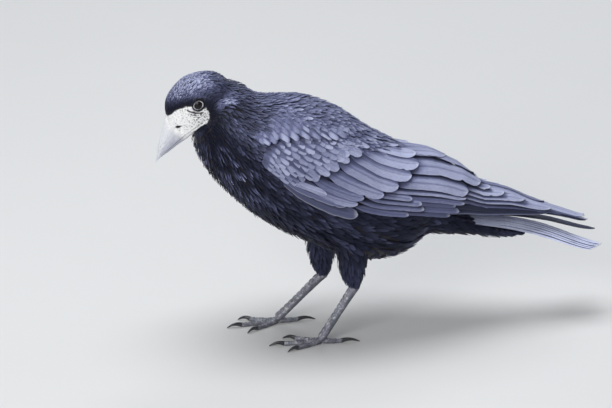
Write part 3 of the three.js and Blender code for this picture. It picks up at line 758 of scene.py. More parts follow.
def face_painted_shade(head):
    """Painted shade of the bare face, 0 to 1: under the chin, along the gape's crease, in the folds under the eye
    and in the nostril; and a dark ring round the lids.
    """
    chin = smooth(-19.5, -21.5, head[:, 2]) * 0.75
    cut = row_at_x(BILL, np.clip(head[:, 0], 8, 65))[:, 2]
    crease = np.exp(-((head[:, 2] - cut) / 0.8) ** 2) * smooth(9, 12, head[:, 0])
    ahead, above = head[:, 0] - 1.5, head[:, 2] - 0.5
    lids = smooth(6.5, 5.9, np.hypot(ahead, above * 1.12) + 0.35 * grain(head, 2.0, 9))
    broken = smooth(-0.8, -0.2, grain(head, 2.6, 8))
    # How far a place is beneath the eye, and how far forward, along lines that run down and back.
    beneath = -(above - 1.2 * ahead) / 1.56 + 0.3 * grain(head, 2.2, 9)
    forward = (ahead + 1.2 * above) / 1.56

    def fold(at, bend, wide, back, front):
        line = np.exp(-((beneath - at + bend * forward ** 2) / wide) ** 2)
        return line * smooth(back - 1, back + 1, forward) * smooth(front + 1, front - 1, forward)

    folds = (1.4 * fold(7.3, 0.02, 0.75, -5.5, 9.5) + 1.3 * fold(9.6, 0.01, 0.55, -4.5, 6) * broken
             + 0.8 * fold(11.6, 0.0, 0.4, -4, 2) * broken)
    by_eye = smooth(6, 12, np.abs(head[:, 1]))
    nostril = smooth(1.15, 0.85, nostril_shape(head)) * smooth(2, 4, np.abs(head[:, 1]))
    return np.clip(np.maximum.reduce([chin, crease * 0.45, lids * by_eye, folds * by_eye, nostril]), 0, 1)


def make_skin():
    """Makes the skin, and returns the outside of the coat, which the skin was before it was sunk."""
    mesh = remeshed("skin", flesh_solids(), SKIN_VOXEL, 12)
    coat_mesh = mesh.copy()
    refine_face(mesh)
    relax_face(mesh, 10)
    points, normals = read_points(mesh), read_normals(mesh)
    head = bird_to_head(points)
    on_head = on_the_head(head, -32, -20)
    bare_mm = np.where(head[:, 0] > FACE_BACK, bareness(head), -9.0)
    bare = smooth(-0.6, 0.6, bare_mm)
    depth = COAT_DEPTH + (HEAD_COAT_DEPTH - COAT_DEPTH) * on_head
    depth = depth * (1 - smooth(-2.5, -0.2, bare_mm) * on_head)
    relief, scabs = face_relief(head)
    write_points(mesh, points + normals * (on_head * relief - depth)[:, None])
    add_values(mesh, "bare", bare * on_head)
    add_values(mesh, "relief", scabs)
    add_values(mesh, "painted_face_shade", face_painted_shade(head))
    add_values(mesh, "scurf", 0.28 * smooth(8, 22, head[:, 0]) - 0.2 * smooth(8, 0, head[:, 0]))
    piece = put(mesh, skin_paint())
    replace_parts(piece, "trunk", "neck", "head", "rump", "thigh_left", "thigh_right")
    return coat_mesh


# ---- Small feathers over the skin -------------------------------------------------------------------

VANE_STATIONS = np.array([0, 0.16, 0.42, 0.70, 0.90, 1.0])
ROUND_TIP = np.array([0, 0.55, 0.95, 1.0, 0.66, 0])
LONG_TIP = np.array([0, 0.60, 1.0, 0.74, 0.36, 0])


def surface_tree(mesh):
    build = bmesh.new()
    build.from_mesh(mesh)
    tree = BVHTree.FromBMesh(build)
    build.free()
    return tree


def on_surface(tree, points):
    """Nearest points and normals of a surface, in the bird's millimetres."""
    at, normal = np.empty_like(points), np.empty_like(points)
    for i, p in enumerate(place_in_frame(points)):
        hit, n, _, _ = tree.find_nearest(Vector(p))
        at[i], normal[i] = hit, n
    return at * 1000 - (ORIGIN_X, 0, 0), normal


def along_surface(directions, normals):
    """Directions turned into the surface that has these normals."""
    return unit(directions - normals * np.einsum("ij,ij->i", directions, normals)[:, None])


def lie_of_coat(points, normals):
    """The way the feathers point at places of the body: back from the bill, along the spine, down the thighs."""
    line = np.concatenate([BODY[::-1, :2], RUMP[2:, :2]])
    x = points[:, 0]
    ahead = np.interp(x + 6, line[:, 0], line[:, 1]) - np.interp(x - 6, line[:, 0], line[:, 1])
    flow = unit(np.stack([np.full(len(x), 12.0), np.zeros(len(x)), ahead], axis=-1))
    flow[x < -108] = unit(np.array([0.62, 0, -0.78]))
    on_head = on_the_head(bird_to_head(points), -27, -6)[:, None]
    flow = unit(flow * (1 - on_head) - HEAD_AXES[0] * on_head)
    belly = smooth(150, 105, points[:, 2]) * smooth(-70, -20, x)
    flow = unit(flow + belly[:, None] * np.array([0.3, 0, 0.05]))
    for leg in LEGS.values():
        knee, axis = leg["knee"], unit(leg["heel"] - leg["knee"])
        along = (points - knee) @ axis
        away = np.linalg.norm(points - knee - along[:, None] * axis, axis=1)
        near = (smooth(26, 18, away) * smooth(8, 22, along))[:, None]
        flow = unit(flow * (1 - near) + near * (axis + np.array([0.12, 0, 0])))
    return along_surface(flow, normals)


def feather_length(points):
    """Length of the coat's feathers at places of the body, in mm."""
    head = bird_to_head(points)
    x, z = points[:, 0], points[:, 2]
    base = np.interp(x, [-112, -92, -70, -45, -10, 40, 90, 130, 160, 180],
                     [7.0, 8.0, 9.0, 11.0, 12.5, 14, 16, 15, 11, 6])
    low = smooth(5, -25, z - np.interp(x, SPINE_X, SPINE_Z))
    base = base * (1 + 0.22 * low - 0.05 * low * smooth(-60, -95, x))
    crown = np.interp(head[:, 0], [-28, -14, 0, 14, 24], [6.8, 5.6, 4.6, 3.8, 3.0])
    edge = smooth(9, 1, -bareness(head))
    crown = crown * (1 - edge) + 2.6 * edge
    on_head = on_the_head(head, -32, -22)
    length = base * (1 - on_head) + crown * on_head
    on_thigh = smooth(96, 60, z)
    return length * (1 - on_thigh) + 9.5 * on_thigh


def coat_spacing(points):
    return np.maximum(COAT_SPACING * feather_length(points), COAT_LEAST_GAP)


def spread_roots(mesh, spacing_of, dense=3.4):
    """Evenly spaced random places on a mesh, nearer to each other where spacing_of() is small."""
    build = bmesh.new()
    build.from_mesh(mesh)
    bmesh.ops.triangulate(build, faces=build.faces)
    points = np.array([v.co for v in build.verts]) * 1000 - (ORIGIN_X, 0, 0)
    tris = np.array([[v.index for v in f.verts] for f in build.faces])
    build.free()
    a, b, c = (points[tris[:, i]] for i in range(3))
    area = np.linalg.norm(np.cross(b - a, c - a), axis=1) / 2
    weight = area / spacing_of((a + b + c) / 3) ** 2
    count = int(dense * weight.sum())
    pick = RNG.choice(len(tris), count, p=weight / weight.sum())
    u, v = RNG.random(count), RNG.random(count)
    flip = u + v > 1
    u[flip], v[flip] = 1 - u[flip], 1 - v[flip]
    places = a[pick] + u[:, None] * (b - a)[pick] + v[:, None] * (c - a)[pick]
    spacing = spacing_of(places)
    kept = []
    for low, high in ((0, 1.1), (1.1, 1.7), (1.7, 2.6), (2.6, 4.0), (4.0, 9.0)):
        cells = {}
        for i in np.nonzero((spacing >= low) & (spacing < high))[0]:
            p, gap = places[i], spacing[i]
            key = tuple(np.floor(p / high).astype(int))
            near = (cells.get((key[0] + dx, key[1] + dy, key[2] + dz), ())
                    for dx in (-1, 0, 1) for dy in (-1, 0, 1) for dz in (-1, 0, 1))
            if all((p[0] - q[0]) ** 2 + (p[1] - q[1]) ** 2 + (p[2] - q[2]) ** 2 > gap * gap
                   for group in near for q in group):
                cells.setdefault(key, []).append(p)
                kept.append(i)
    return places[np.array(kept)]


def comb(tree, roots, lengths, stray_deg, sink, lift, swell):
    """Centre lines of feathers that lie along the surface, from under the coat to its outside."""
    at, normal = on_surface(tree, roots)
    stray = np.radians(stray_deg) * RNG.standard_normal(len(roots))
    lines, normals = [], []
    flow = lie_of_coat(at, normal)
    flow = unit(flow * np.cos(stray)[:, None] + np.cross(normal, flow) * np.sin(stray)[:, None])
    for k, s in enumerate(VANE_STATIONS):
        if k:
            reach = (s - VANE_STATIONS[k - 1]) * lengths
            at, normal = on_surface(tree, at + flow * reach[:, None])
            flow = along_surface(unit(flow * 0.6 + lie_of_coat(at, normal) * 0.4), normal)
        height = swell - sink * (1 - s) ** 1.3 + lift * s ** 2
        lines.append(at + normal * height[:, None])
        normals.append(normal)
    return np.stack(lines, axis=1), np.stack(normals, axis=1)


def unwrap_places(points):
    """Places of an unwrap of the skin's own shape: along the body, and round it."""
    x = points[:, 0]
    centre = np.interp(x, [-160, -108, -89, -38, 14, 66, 182], [240, 219, 199, 165, 141, 125, 81])
    round_it = np.arctan2(points[:, 1], points[:, 2] - centre) / (2 * np.pi) + 0.5
    low = smooth(104, 84, points[:, 2]) * (points[:, 0] < 60)
    u = (x + 165) / 400
    legs = np.stack([0.90 + 0.045 * np.sign(points[:, 1]) + 0.035 * (round_it - 0.5),
                     (points[:, 2] - 40) / 70], axis=-1)
    flat = np.stack([u * 0.84 + 0.005, round_it * 0.98 + 0.01], axis=-1)
    return np.where(low[:, None] > 0.5, np.clip(legs, 0.01, 0.99), np.clip(flat, 0.002, 0.995))


def vane_template(stations):
    """Quads and triangles of one small vane: a root, rings of four points, and a tip."""
    rings = stations - 2
    quads = [(1 + 4 * r + k, 1 + 4 * r + (k + 1) % 4, 5 + 4 * r + (k + 1) % 4, 5 + 4 * r + k)
             for r in range(rings - 1) for k in range(4)]
    tip = 1 + 4 * rings
    last = 1 + 4 * (rings - 1)
    tris = [(0, 1 + (k + 1) % 4, 1 + k) for k in range(4)]
    tris += [(tip, last + k, last + (k + 1) % 4) for k in range(4)]
    return np.array(quads), np.array(tris), tip + 1


def small_vanes(name, material, slot, lines, normals, half_width, pointed, tone, fringe):
    """A joined mesh of small closed vanes on given centre lines."""
    n, stations, _ = lines.shape
    tangent = unit(np.gradient(lines, axis=1))
    side = unit(np.cross(normals, tangent))
    normals = unit(np.cross(tangent, side))
    shape = ROUND_TIP * (1 - pointed[:, None]) + LONG_TIP * pointed[:, None]
    wide = half_width[:, None] * shape
    inner = slice(1, stations - 1)
    mid, out, across = lines[:, inner], normals[:, inner], side[:, inner]
    w = wide[:, inner, None]
    uneven = 1 + 0.22 * RNG.standard_normal((n, stations - 2, 2))
    left = mid + across * w * uneven[..., :1] - out * VANE_CAMBER * w
    right = mid - across * w * uneven[..., 1:] - out * VANE_CAMBER * w
    top, bottom = mid + out * VANE_THICK * 0.8, mid - out * VANE_THICK * 1.2
    rings = np.stack([left, top, right, bottom], axis=2)
    points = np.concatenate([lines[:, :1], rings.reshape(n, -1, 3), lines[:, -1:]], axis=1)
    quads, tris, per = vane_template(stations)
    offset = (np.arange(n) * per)[:, None, None]
    mesh = mesh_from(name, points.reshape(-1, 3), (quads + offset).reshape(-1, 4), (tris + offset).reshape(-1, 3))
    s = np.concatenate([[0], np.repeat(VANE_STATIONS[inner], 4), [1]])
    c = np.concatenate([[0], np.tile([1, 0, -1, 0], stations - 2), [0]])
    rim = np.tile(np.concatenate([[True], np.tile([True, False, True, False], stations - 2), [True]]), n)
    sharpen_rims(mesh, rim)
    length = np.linalg.norm(np.diff(lines, axis=1), axis=2).sum(axis=1)
    vane = np.stack([c * half_width[:, None] * 0.1, s * length[:, None] * 0.1], axis=-1)
    add_uv(mesh, "Vane", vane.reshape(-1, 2))
    root = unwrap_places(lines[:, 0])
    patch = np.stack([c * 0.5, s - 0.5], axis=-1) * PATCH
    add_uv(mesh, "OFBake", (root[:, None] + patch).reshape(-1, 2))
    # Painted shade: each vane is darker at its root, where the feather above lies over it, and along its sides.
    shade = (0.30 + 0.95 * smooth(0.25, 0.95, s)) * (1 - 0.25 * np.abs(c))
    add_values(mesh, "tone", (tone[:, None] * shade).ravel())
    add_values(mesh, "fringe", (fringe[:, None] * smooth(0.62, 1.0, s)).ravel())
    return put(mesh, material)


def wing_cover(points):
    """True where the folded wing hides the body."""
    x = points[:, 0]
    row = row_at_x(WING, np.clip(x, -80, 240))
    low, top, wide = row[:, 1], row[:, 2], row[:, 3]
    across, rise = np.abs(points[:, 1]) / wide, (points[:, 2] - low) / (top - low)
    front = np.interp(points[:, 2], [186, 200, 212, 219, 225], [-66, -70, -52, -30, 10])
    return (x > front + 10) & (x < 150) & (rise > 0.09) & (rise < 0.62) & (np.hypot(across, rise) < 1.0)


def coat_regions(points):
    """The piece of the coat that a feather belongs to, by the place of its root."""
    names = np.full(len(points), "coat_belly", dtype=object)
    x, y, z = points.T
    upper = z > np.interp(x, SPINE_X, SPINE_Z) + 6
    names[(x < -44) & ~upper] = "coat_breast"
    names[upper & (x < 80)] = "coat_mantle"
    names[(x < -72) & upper] = "coat_nape"
    names[on_the_head(bird_to_head(points), -25, -23) > 0.5] = "coat_head"
    names[(z < 92) & (y < 0)] = "coat_thigh_left"
    names[(z < 92) & (y > 0)] = "coat_thigh_right"
    names[x >= 80] = "coat_rump"
    return names


def open_roots(coat_mesh):
    """Places of the coat where feathers grow: not on the bare face, in the eyes or under the wings."""
    roots = spread_roots(coat_mesh, coat_spacing)
    head = bird_to_head(roots)
    from_eye = np.hypot(head[:, 0] - 1.2, (head[:, 2] - 0.6) * 1.1)
    eye_hole = (from_eye < 4.9) & (np.abs(head[:, 1]) > 10) & (head[:, 0] > -8)
    bare = (bareness(head) > -0.2) & (head[:, 0] > FACE_BACK)
    return roots[~(eye_hole | bare | wing_cover(roots))]


def coat_places(roots):
    """For each root: its place in the head's frame, its height over the spine, and how much it is on the head,
    under the body, on the throat and on the neck."""
    head = bird_to_head(roots)
    x, _, z = roots.T
    on_head = on_the_head(head, -32, -20)
    height = (z - np.interp(x, SPINE_X, SPINE_Z)) / 50
    under = smooth(0.25, -0.5, height) * (1 - on_head)
    return head, height, on_head, under, smooth(-50, -95, x) * under, smooth(-66, -84, x) * (1 - on_head)


def coat_tone(roots, up, vary):
    """Tone of each small feather: lighter where it faces up, as painted sheen; darker by the face, on the ear, and
    in painted shade underneath.
    """
    head, height, on_head, under, throat, neck = coat_places(roots)
    x, y, z = roots.T
    on_face_side = head[:, 0] > FACE_BACK
    # Painted light: feathers that face up are lighter, the crown most, as painted sheen; the underparts are darker,
    # in painted shade.
    tone = 0.12 + 0.42 * smooth(-0.15, 0.85, up)
    tone = tone * (1 - 0.55 * under) * (1 + 1.05 * on_head * smooth(-0.1, 0.6, up))
    nape = np.exp(-((head[:, 0] + 27) / 11) ** 2) * smooth(-0.2, 0.5, height)
    ear = np.exp(-((head[:, 0] + 20) / 9) ** 2 - ((head[:, 2] - 3) / 11) ** 2)
    tone = tone * (1 - 0.50 * nape) * (1 - 0.5 * ear)
    border = smooth(-7.0, -2.5, bareness(head)) * on_face_side
    tone = tone * (1 - 0.94 * border)
    patches = grain(roots, 15, 31) * 0.5 + grain(roots, 6, 32) * 0.4
    lie = np.stack([0.35 * (0.77 * x - 0.64 * z), y, 0.64 * x + 0.77 * z], axis=-1)
    # Pale wisps of painted sheen on the neck and underparts; beneath them the underparts are darkened again as
    # painted shade.
    wisps = smooth(-0.15, 0.6, grain(lie, 4.2, 33) + 0.55 * grain(lie, 13, 34))
    flank = 0.35 + 0.65 * smooth(-1.35, -0.5, height)
    painted_sheen = wisps * (0.21 * neck + 0.17 * under * flank) * (1 - border) * (1 - 0.6 * ear)
    tone = tone * (1 - 0.66 * neck) * (1 - 0.85 * under) + painted_sheen
    gorge = smooth(-17, -4, bareness(head)) * smooth(-12, -17, head[:, 2]) * on_face_side
    tone = tone * (1 - 0.85 * gorge)
    tone = tone * np.maximum(0.1, 1 + patches * (0.25 - 0.12 * on_head + 0.55 * np.maximum(under, throat)))
    tone = tone * (vary(0.2) + neck * (vary(0.4) - 1))
    # Painted shade on the rump from x = 84 back, under the wing; the thighs are a little lighter.
    return np.clip(tone * (1 - 0.8 * smooth(84, 100, x)) + 0.09 * smooth(94, 82, z), 0.015, 1)


def lay_coat(coat_mesh):
    """Combs the small feathers over the body and gives each its width, tone and pale fringe."""
    roots = open_roots(coat_mesh)
    vary = lambda amount: 1 + amount * RNG.standard_normal(len(roots))
    lengths = feather_length(roots) * vary(0.14)
    _, _, on_head, under, throat, neck = coat_places(roots)
    x, y, z = roots.T
    wing_front = smooth(20, 6, np.abs(x + 72)) * smooth(26, 10, np.abs(z - 200)) * smooth(25, 38, np.abs(y))
    sink = COAT_DEPTH * 0.95 * (1 - on_head) + HEAD_COAT_DEPTH * on_head
    lift = (0.35 + 0.40 * under + 0.35 * throat) * (1 - 0.7 * on_head) * vary(0.6)
    swell = 3.6 * wing_front - 0.1 * on_head
    stray = 7 + 5 * under + 4 * throat + 4 * on_head
    lines, normals = comb(surface_tree(coat_mesh), roots, lengths, stray, sink, lift, swell)
    pointed = 0.70 + 0.3 * throat - 0.35 * smooth(-60, -20, x) * (1 - under)
    pointed = np.clip(pointed + 0.2 * RNG.standard_normal(len(roots)), 0, 1)
    half_width = lengths * (0.19 - 0.075 * pointed) * vary(0.1) * (1 - 0.22 * neck)
    up = normals[:, 2, 2]
    tone = coat_tone(roots, up, vary)
    # Painted highlight: pale tips only on feathers that face up, off the head.
    fringe = np.clip(0.05 * smooth(0.1, 0.8, up) * (1 - on_head) * vary(0.5), 0, 1)

    names = coat_regions(roots)
    upper = feather_paint("body_feathers", gloss=0.45, sheen=0.08, shine=0.4)
    lower = feather_paint("under_feathers", gloss=0.50, sheen=0.0, shine=0.2)
    for name in sorted(set(names)):
        mine = names == name
        paint = upper if name in ("coat_head", "coat_mantle", "coat_nape") else lower
        small_vanes(name, paint, "plumage", *(v[mine] for v in (lines, normals, half_width, pointed, tone, fringe)))


# ---- Quills: the wing's and tail's larger feathers --------------------------------------------------

def wing_point(x, t, lift):
    """A point of the left wing's envelope: t runs from the lower edge (0) to the back line (1)."""
    row = row_at_x(WING, x)
    low, top, wide = row[..., 1], row[..., 2], row[..., 3]
    angle = t * np.pi / 2
    out = unit(np.stack([np.cos(angle) / wide, np.sin(angle) / (top - low)], axis=-1))
    y = -(wide * np.cos(angle) + lift * out[..., 0])
    return np.stack([x, y, low + (top - low) * np.sin(angle) + lift * out[..., 1]], axis=-1)


def wing_arc(x):
    """Length of the wing's envelope at x, from its lower edge to the back line."""
    row = row_at_x(WING, x)
    return np.pi / 2 * np.sqrt((row[..., 3] ** 2 + (row[..., 2] - row[..., 1]) ** 2) / 2)


def tail_point(x, s, lift, flatter=0.0):
    """A point of one half of the tail: s runs from its middle (0) to its edge (1)."""
    row = row_at_x(TAIL, x)
    z, half, droop, part = (row[..., i] for i in range(1, 5))
    y = part + (half - part) * s
    level = flatter * smooth(130, 215, x)
    return np.stack([x, -y, z - droop * (1 - 1.15 * level) * (y / half) ** 2 + 1.5 * level + lift], axis=-1)


def tail_arc(x):
    row = row_at_x(TAIL, x)
    return row[..., 2] - row[..., 4]


def along_line(line, s):
    """Places at shares s of a line of (x, share) pairs."""
    line = np.asarray(line, float)
    q = np.asarray(s) * (len(line) - 1)
    grid = np.arange(len(line))
    return np.stack([np.interp(q, grid, line[:, 0]), np.interp(q, grid, line[:, 1])], axis=-1)


QUILL_COLUMNS = np.array([-1.0, -0.86, -0.66, -0.42, -0.22, -0.06, 0.0, 0.06, 0.26, 0.48, 0.74, 1.0])
COVERT_COLUMNS = np.array([-1.0, -0.72, -0.40, -0.08, 0.0, 0.08, 0.40, 0.72, 1.0])


def quill_outline(q, blunt):
    """Half width of a quill at shares of its length: narrow root, even vane, rounded tip."""
    tip = np.clip((q - blunt) / (1 - blunt), 0, 1)
    return np.minimum(1, 0.42 + 3.2 * q) * np.sqrt(np.maximum(1 - tip ** 2.3, 0))


def overlap(roots, tips, half_width, arc, swing):
    """Where the edge of the feather above lies on each feather (as a column), and how far along it reaches."""
    count = len(roots)
    edge, end = np.full(count, 1.8), np.ones(count)
    run = tips - roots
    for i in range(count):
        for j in range(i + 1, min(count, i + 5)):
            x = roots[i, 0] + 0.75 * (min(tips[i, 0], tips[j, 0]) - roots[i, 0])
            level = [roots[k, 1] + run[k, 1] * max(0.0, (x - roots[k, 0]) / run[k, 0]) ** swing[k] for k in (i, j)]
            gap = level[1] - level[0]
            column = (gap * float(arc(np.array(x))) - half_width[j]) / half_width[i]
            if gap > 0 and column < edge[i]:
                edge[i], end[i] = column, (tips[j, 0] - roots[i, 0]) / run[i, 0]
    return edge, end


def quills(surface, arc, roots, tips, half_width, lift, tilt, thick, *, blunt, stations, ragged, far_edge, seed,
           shaft_at=0.0, bow=0.0, camber=0.5, tip_drop=0.0, columns=QUILL_COLUMNS, rows=None, swing=1.0, soft=0.7):
    """Solid feathers on an envelope. Roots and tips are (x, share) places; returns points and per-point values."""
    rng = np.random.default_rng(seed)
    n = len(roots)
    q = 1 - (1 - np.linspace(0, 1, stations)) ** 1.35
    q[-1] = 1
    share = q[None, :, None]
    centre = roots[:, None] + (tips - roots)[:, None] * share
    swing = np.broadcast_to(swing, (n,))[:, None]
    centre[..., 1] = roots[:, 1:] + (tips[:, 1:] - roots[:, 1:]) * q[None] ** swing
    centre[..., 1] += np.broadcast_to(bow, (n,))[:, None] * np.sin(np.pi * q) / arc(centre[..., 0])
    local_arc = arc(centre[..., 0])
    flat = np.stack([centre[..., 0], centre[..., 1] * local_arc], axis=-1)
    tangent = unit(np.gradient(flat, axis=1))
    across = np.stack([-tangent[..., 1], tangent[..., 0]], axis=-1)
    outline = np.maximum(quill_outline(q, blunt), 0.02)
    wide = half_width[:, None] * outline[None]
    fray = 1 - np.abs(rng.standard_normal((n, stations, 2))) * ragged * smooth(0.25, 0.6, q)[None, :, None]
    notch = rng.random((n, stations, 2)) > 0.95
    fray = np.where(notch & (share > 0.4) & (share < 0.93), fray - 0.14 * (ragged > 0), fray)
    reach = np.where(columns < 0, columns * (1 + shaft_at), columns * (1 - shaft_at)) + shaft_at
    edge = np.where(columns[None, None] < 0, fray[..., :1], fray[..., 1:])
    offset = reach[None, None] * (1 + (edge - 1) * np.abs(columns)) * wide[..., None]
    x = centre[..., 0:1] + across[..., 0:1] * offset
    t = np.minimum(centre[..., 1:2] + across[..., 1:2] * offset / local_arc[..., None], far_edge)
    rise = lift[0] + (lift[1] - lift[0]) * share
    slope = tilt * np.minimum(1, 3 * q)[None, :, None]
    level = rise - slope * reach[None, None] * 0.5
    level = level - camber * (np.abs(columns) ** 2.2)[None, None] * np.minimum(1, outline[None, :, None] * 1.3)
    level = level - tip_drop * smooth(0.62, 1.0, q)[None, :, None]
    level = level + rng.normal(0, 0.08, (n, 1, 1)) + 0.10 * np.sin(9 * share + 7 * rng.random((n, 1, 1)))
    shaft = 0.42 * np.exp(-(columns / 0.05) ** 2)[None, None] * (1 - 0.7 * share)
    body = thick * (0.30 + 0.70 * (1 - np.abs(columns) ** 1.5))[None, None] * np.ones_like(level)
    top = surface(x, t, level + shaft)
    bottom = surface(x, t, level - body)
    starts = np.concatenate([[0], np.cumsum([n] if rows is None else rows)])
    late = np.broadcast_to(swing[:, 0], (n,))
    hidden = [overlap(roots[a:b], tips[a:b], half_width[a:b], arc, late[a:b]) for a, b in zip(starts, starts[1:])]
    under, until = (np.concatenate([h[k] for h in hidden])[:, None, None] for k in (0, 1))
    col = np.broadcast_to(columns[None, None], x.shape)
    along = np.broadcast_to(share, x.shape)
    # Painted shadow: a dark band on each feather just under the edge of the feather above, as far along as that one
    # reaches.
    dark = smooth(-soft, -0.03, col - under) * smooth(0.05, -0.03, along - until)
    length = np.linalg.norm((tips - roots) * [1, 60], axis=1)
    values = dict(q=along, c=col, dark=dark, width=offset, length=length, x=x, t=t)
    return top, bottom, values


def quill_faces(m, k):
    """Quads of one closed quill with m x k points on each of its sheets, and which points are on its rim."""
    grid = np.arange(m * k).reshape(m, k)
    a, b, c, d = grid[:-1, :-1], grid[:-1, 1:], grid[1:, 1:], grid[1:, :-1]
    upper = np.stack([a, d, c, b], axis=-1).reshape(-1, 4)
    rim = np.concatenate([grid[0, :-1], grid[:-1, -1], grid[-1, :0:-1], grid[:0:-1, 0]])
    nxt = np.roll(rim, -1)
    walls = np.stack([rim, nxt, nxt + m * k, rim + m * k], axis=-1)
    on_rim = np.zeros(2 * m * k, bool)
    on_rim[rim] = on_rim[rim + m * k] = True
    return np.concatenate([upper, upper[:, ::-1] + m * k, walls]), on_rim


def quill_mesh(name, material, slot, top, bottom, values, tone, fringe, mirrored=False, dark_shaft=0.35,
               pale_edge=1.0, shadow=0.8, cover=None):
    """One mesh of closed quills from their upper and lower sheets."""
    n, m, k, _ = top.shape
    quads, on_rim = quill_faces(m, k)
    points = np.concatenate([top.reshape(n, -1, 3), bottom.reshape(n, -1, 3)], axis=1)
    p, middle = points[0], m // 2 * k + k // 2
    f = quads[(m - 1) * (k - 1) // 2]
    facing = np.dot(np.cross(p[f[1]] - p[f[0]], p[f[2]] - p[f[0]]), p[middle] - p[middle + m * k])
    if (facing < 0) != mirrored:
        quads = quads[:, ::-1]
    if mirrored:
        points = points * (1, -1, 1)
    offset = (np.arange(n) * 2 * m * k)[:, None, None]
    mesh = mesh_from(name, points.reshape(-1, 3), (quads[None] + offset).reshape(-1, 4))
    sharpen_rims(mesh, np.tile(on_rim, n))
    q, col, width = values["q"], values["c"], values["width"]
    both = lambda v: np.tile(v.reshape(n, -1), 2)
    run = q * values["length"][:, None, None]
    add_uv(mesh, "Vane", np.stack([both(width) * 0.1, both(run) * 0.1], axis=-1).reshape(-1, 2))
    cells = math.ceil(math.sqrt(2 * n))
    cell = np.arange(2 * n)
    corner = np.stack([cell % cells, cell // cells], axis=-1) / cells
    inner = np.stack([(col + 1) / 2, q], axis=-1).reshape(n, 1, m * k, 2) * 0.88 + 0.06
    inner = np.broadcast_to(inner, (n, 2, m * k, 2)).reshape(2 * n, m * k, 2) / cells
    add_uv(mesh, "OFBake", (corner[:, None] + inner).reshape(-1, 2))
    shade = tone[:, None, None] * (1 - dark_shaft * np.exp(-(col / 0.09) ** 2)) * (0.78 + 0.22 * smooth(0.1, 0.8, q))
    # Painted shadow under the edge of the feather above.
    shade = shade * (1 - shadow * values["dark"])
    # Painted shade just behind the tips of the row above.
    if cover is not None:
        line = np.asarray(cover, float)
        past = values["x"] - np.interp(values["t"], line[:, 1], line[:, 0])
        shade = shade * (0.35 + 0.65 * smooth(-2.0, 9.0, past))
    # Painted highlight along the lower edge and at the tip, kept out of the painted shadow.
    edge = np.maximum(smooth(0.80, 1.0, -col) * pale_edge, smooth(0.93, 1.0, q)) * (1 - values["dark"])
    rim_light = fringe[:, None, None] * edge
    lower_dark = np.concatenate([np.ones((n, m * k)), np.full((n, m * k), 0.55)], axis=1)
    add_values(mesh, "tone", (both(shade) * lower_dark).ravel())
    add_values(mesh, "fringe", (both(rim_light) * lower_dark).ravel())
    return put(mesh, material)


# Feathers of the wing, the lowest first, each over the one before: root (x, share), tip (x, share), half width,
# tone (lower on feathers that lie in the shadow of others: painted shade), pale edge (a painted rim highlight),
# and how late the feather swings to its tip's share.
WING_ROWS = {
    "primaries": dict(
        feathers=[(100, 1.0, 200, 1.02, 5.5, .60, .0, 1), (100, .90, 236, .72, 5.2, .96, .50, 1),
                  (60, .06, 200, .10, 3.4, .40, .45, 1),
                  (66, .15, 238, .20, 3.8, .26, .85, 1), (96, .28, 238, .30, 5.2, .48, .60, 1),
                  (100, .32, 205, .54, 5.6, .88, .50, 1), (102, .38, 180, .62, 5.6, .94, .50, 1),
                  (106, .46, 161, .68, 5.6, .98, .50, 1), (108, .62, 149, .79, 5.6, 1.0, .55, 1)],
        lift=(-1.8, 0.4), tilt=1.5, thick=0.5,
        form=dict(blunt=0.82, shaft_at=-0.25, bow=0.5, soft=0.45),
        shades=dict(dark_shaft=0.25, pale_edge=0.55, shadow=0.82)),
    "secondaries": dict(
        feathers=[(52, .88, 136, 1.03, 11.5, .80, .0, 1),
                  (40, .08, 104, .035, 2.6, .34, .30, 1), (56, .12, 113, .09, 2.8, .50, .35, 1),
                  (58, .18, 110, .165, 2.8, .34, .25, 1),
                  (14, .10, 64, .045, 3.0, .52, .45, 1), (18, .15, 79, .11, 3.2, .62, .45, 1),
                  (24, .20, 77, .17, 3.2, .66, .45, 1), (32, .25, 68, .225, 3.2, .70, .40, 1),
                  (46, .23, 119, .205, 3.0, .56, .40, 2),
                  (34, .31, 121, .285, 3.4, .80, .30, 2), (46, .43, 124, .405, 8.0, .88, .25, 3),
                  (56, .66, 140, .79, 11.4, .90, .30, 3.5), (50, .89, 110, .99, 9.4, .90, .30, 3)],
        lift=(-0.6, 2.0), tilt=1.9, thick=0.55,
        form=dict(blunt=0.88, shaft_at=-0.2, bow=0.0, soft=0.4),
        shades=dict(dark_shaft=0.30, pale_edge=0.3, shadow=0.85)),
    "greater_coverts": dict(
        feathers=[(-46, .11, 16, .13, 4.3, .76, .10, 1), (-26, .195, 22, .185, 4.8, .62, .06, 1),
                  (-12, .30, 41, .245, 6.8, .78, .06, 1), (-2, .43, 56, .345, 8.4, .86, .06, 1),
                  (10, .55, 70, .48, 9.0, .92, .08, 1), (20, .66, 79, .635, 9.0, .96, .22, 1),
                  (28, .79, 79, .79, 7.8, 1.0, .70, 1), (32, .91, 65, .90, 5.8, 1.0, .75, 1)],
        lift=(1.2, 3.9), tilt=1.5, thick=0.6,
        form=dict(blunt=0.74, shaft_at=-0.12, bow=-0.7, soft=0.34),
        shades=dict(dark_shaft=0.28, pale_edge=0.15, shadow=0.52)),
    "alula": dict(
        feathers=[(-50, -.015, 16, .045, 5.6, .28, .50, 1), (-49, .015, 6, .10, 3.8, .50, .60, 1),
                  (-50, .035, -12, .125, 2.8, .78, .40, 1)],
        lift=(1.8, 2.8), tilt=1.2, thick=0.6,
        form=dict(blunt=0.78, shaft_at=-0.1, bow=1.5, soft=0.6),
        shades=dict(dark_shaft=-0.3, pale_edge=0.85, shadow=0.5)),
}
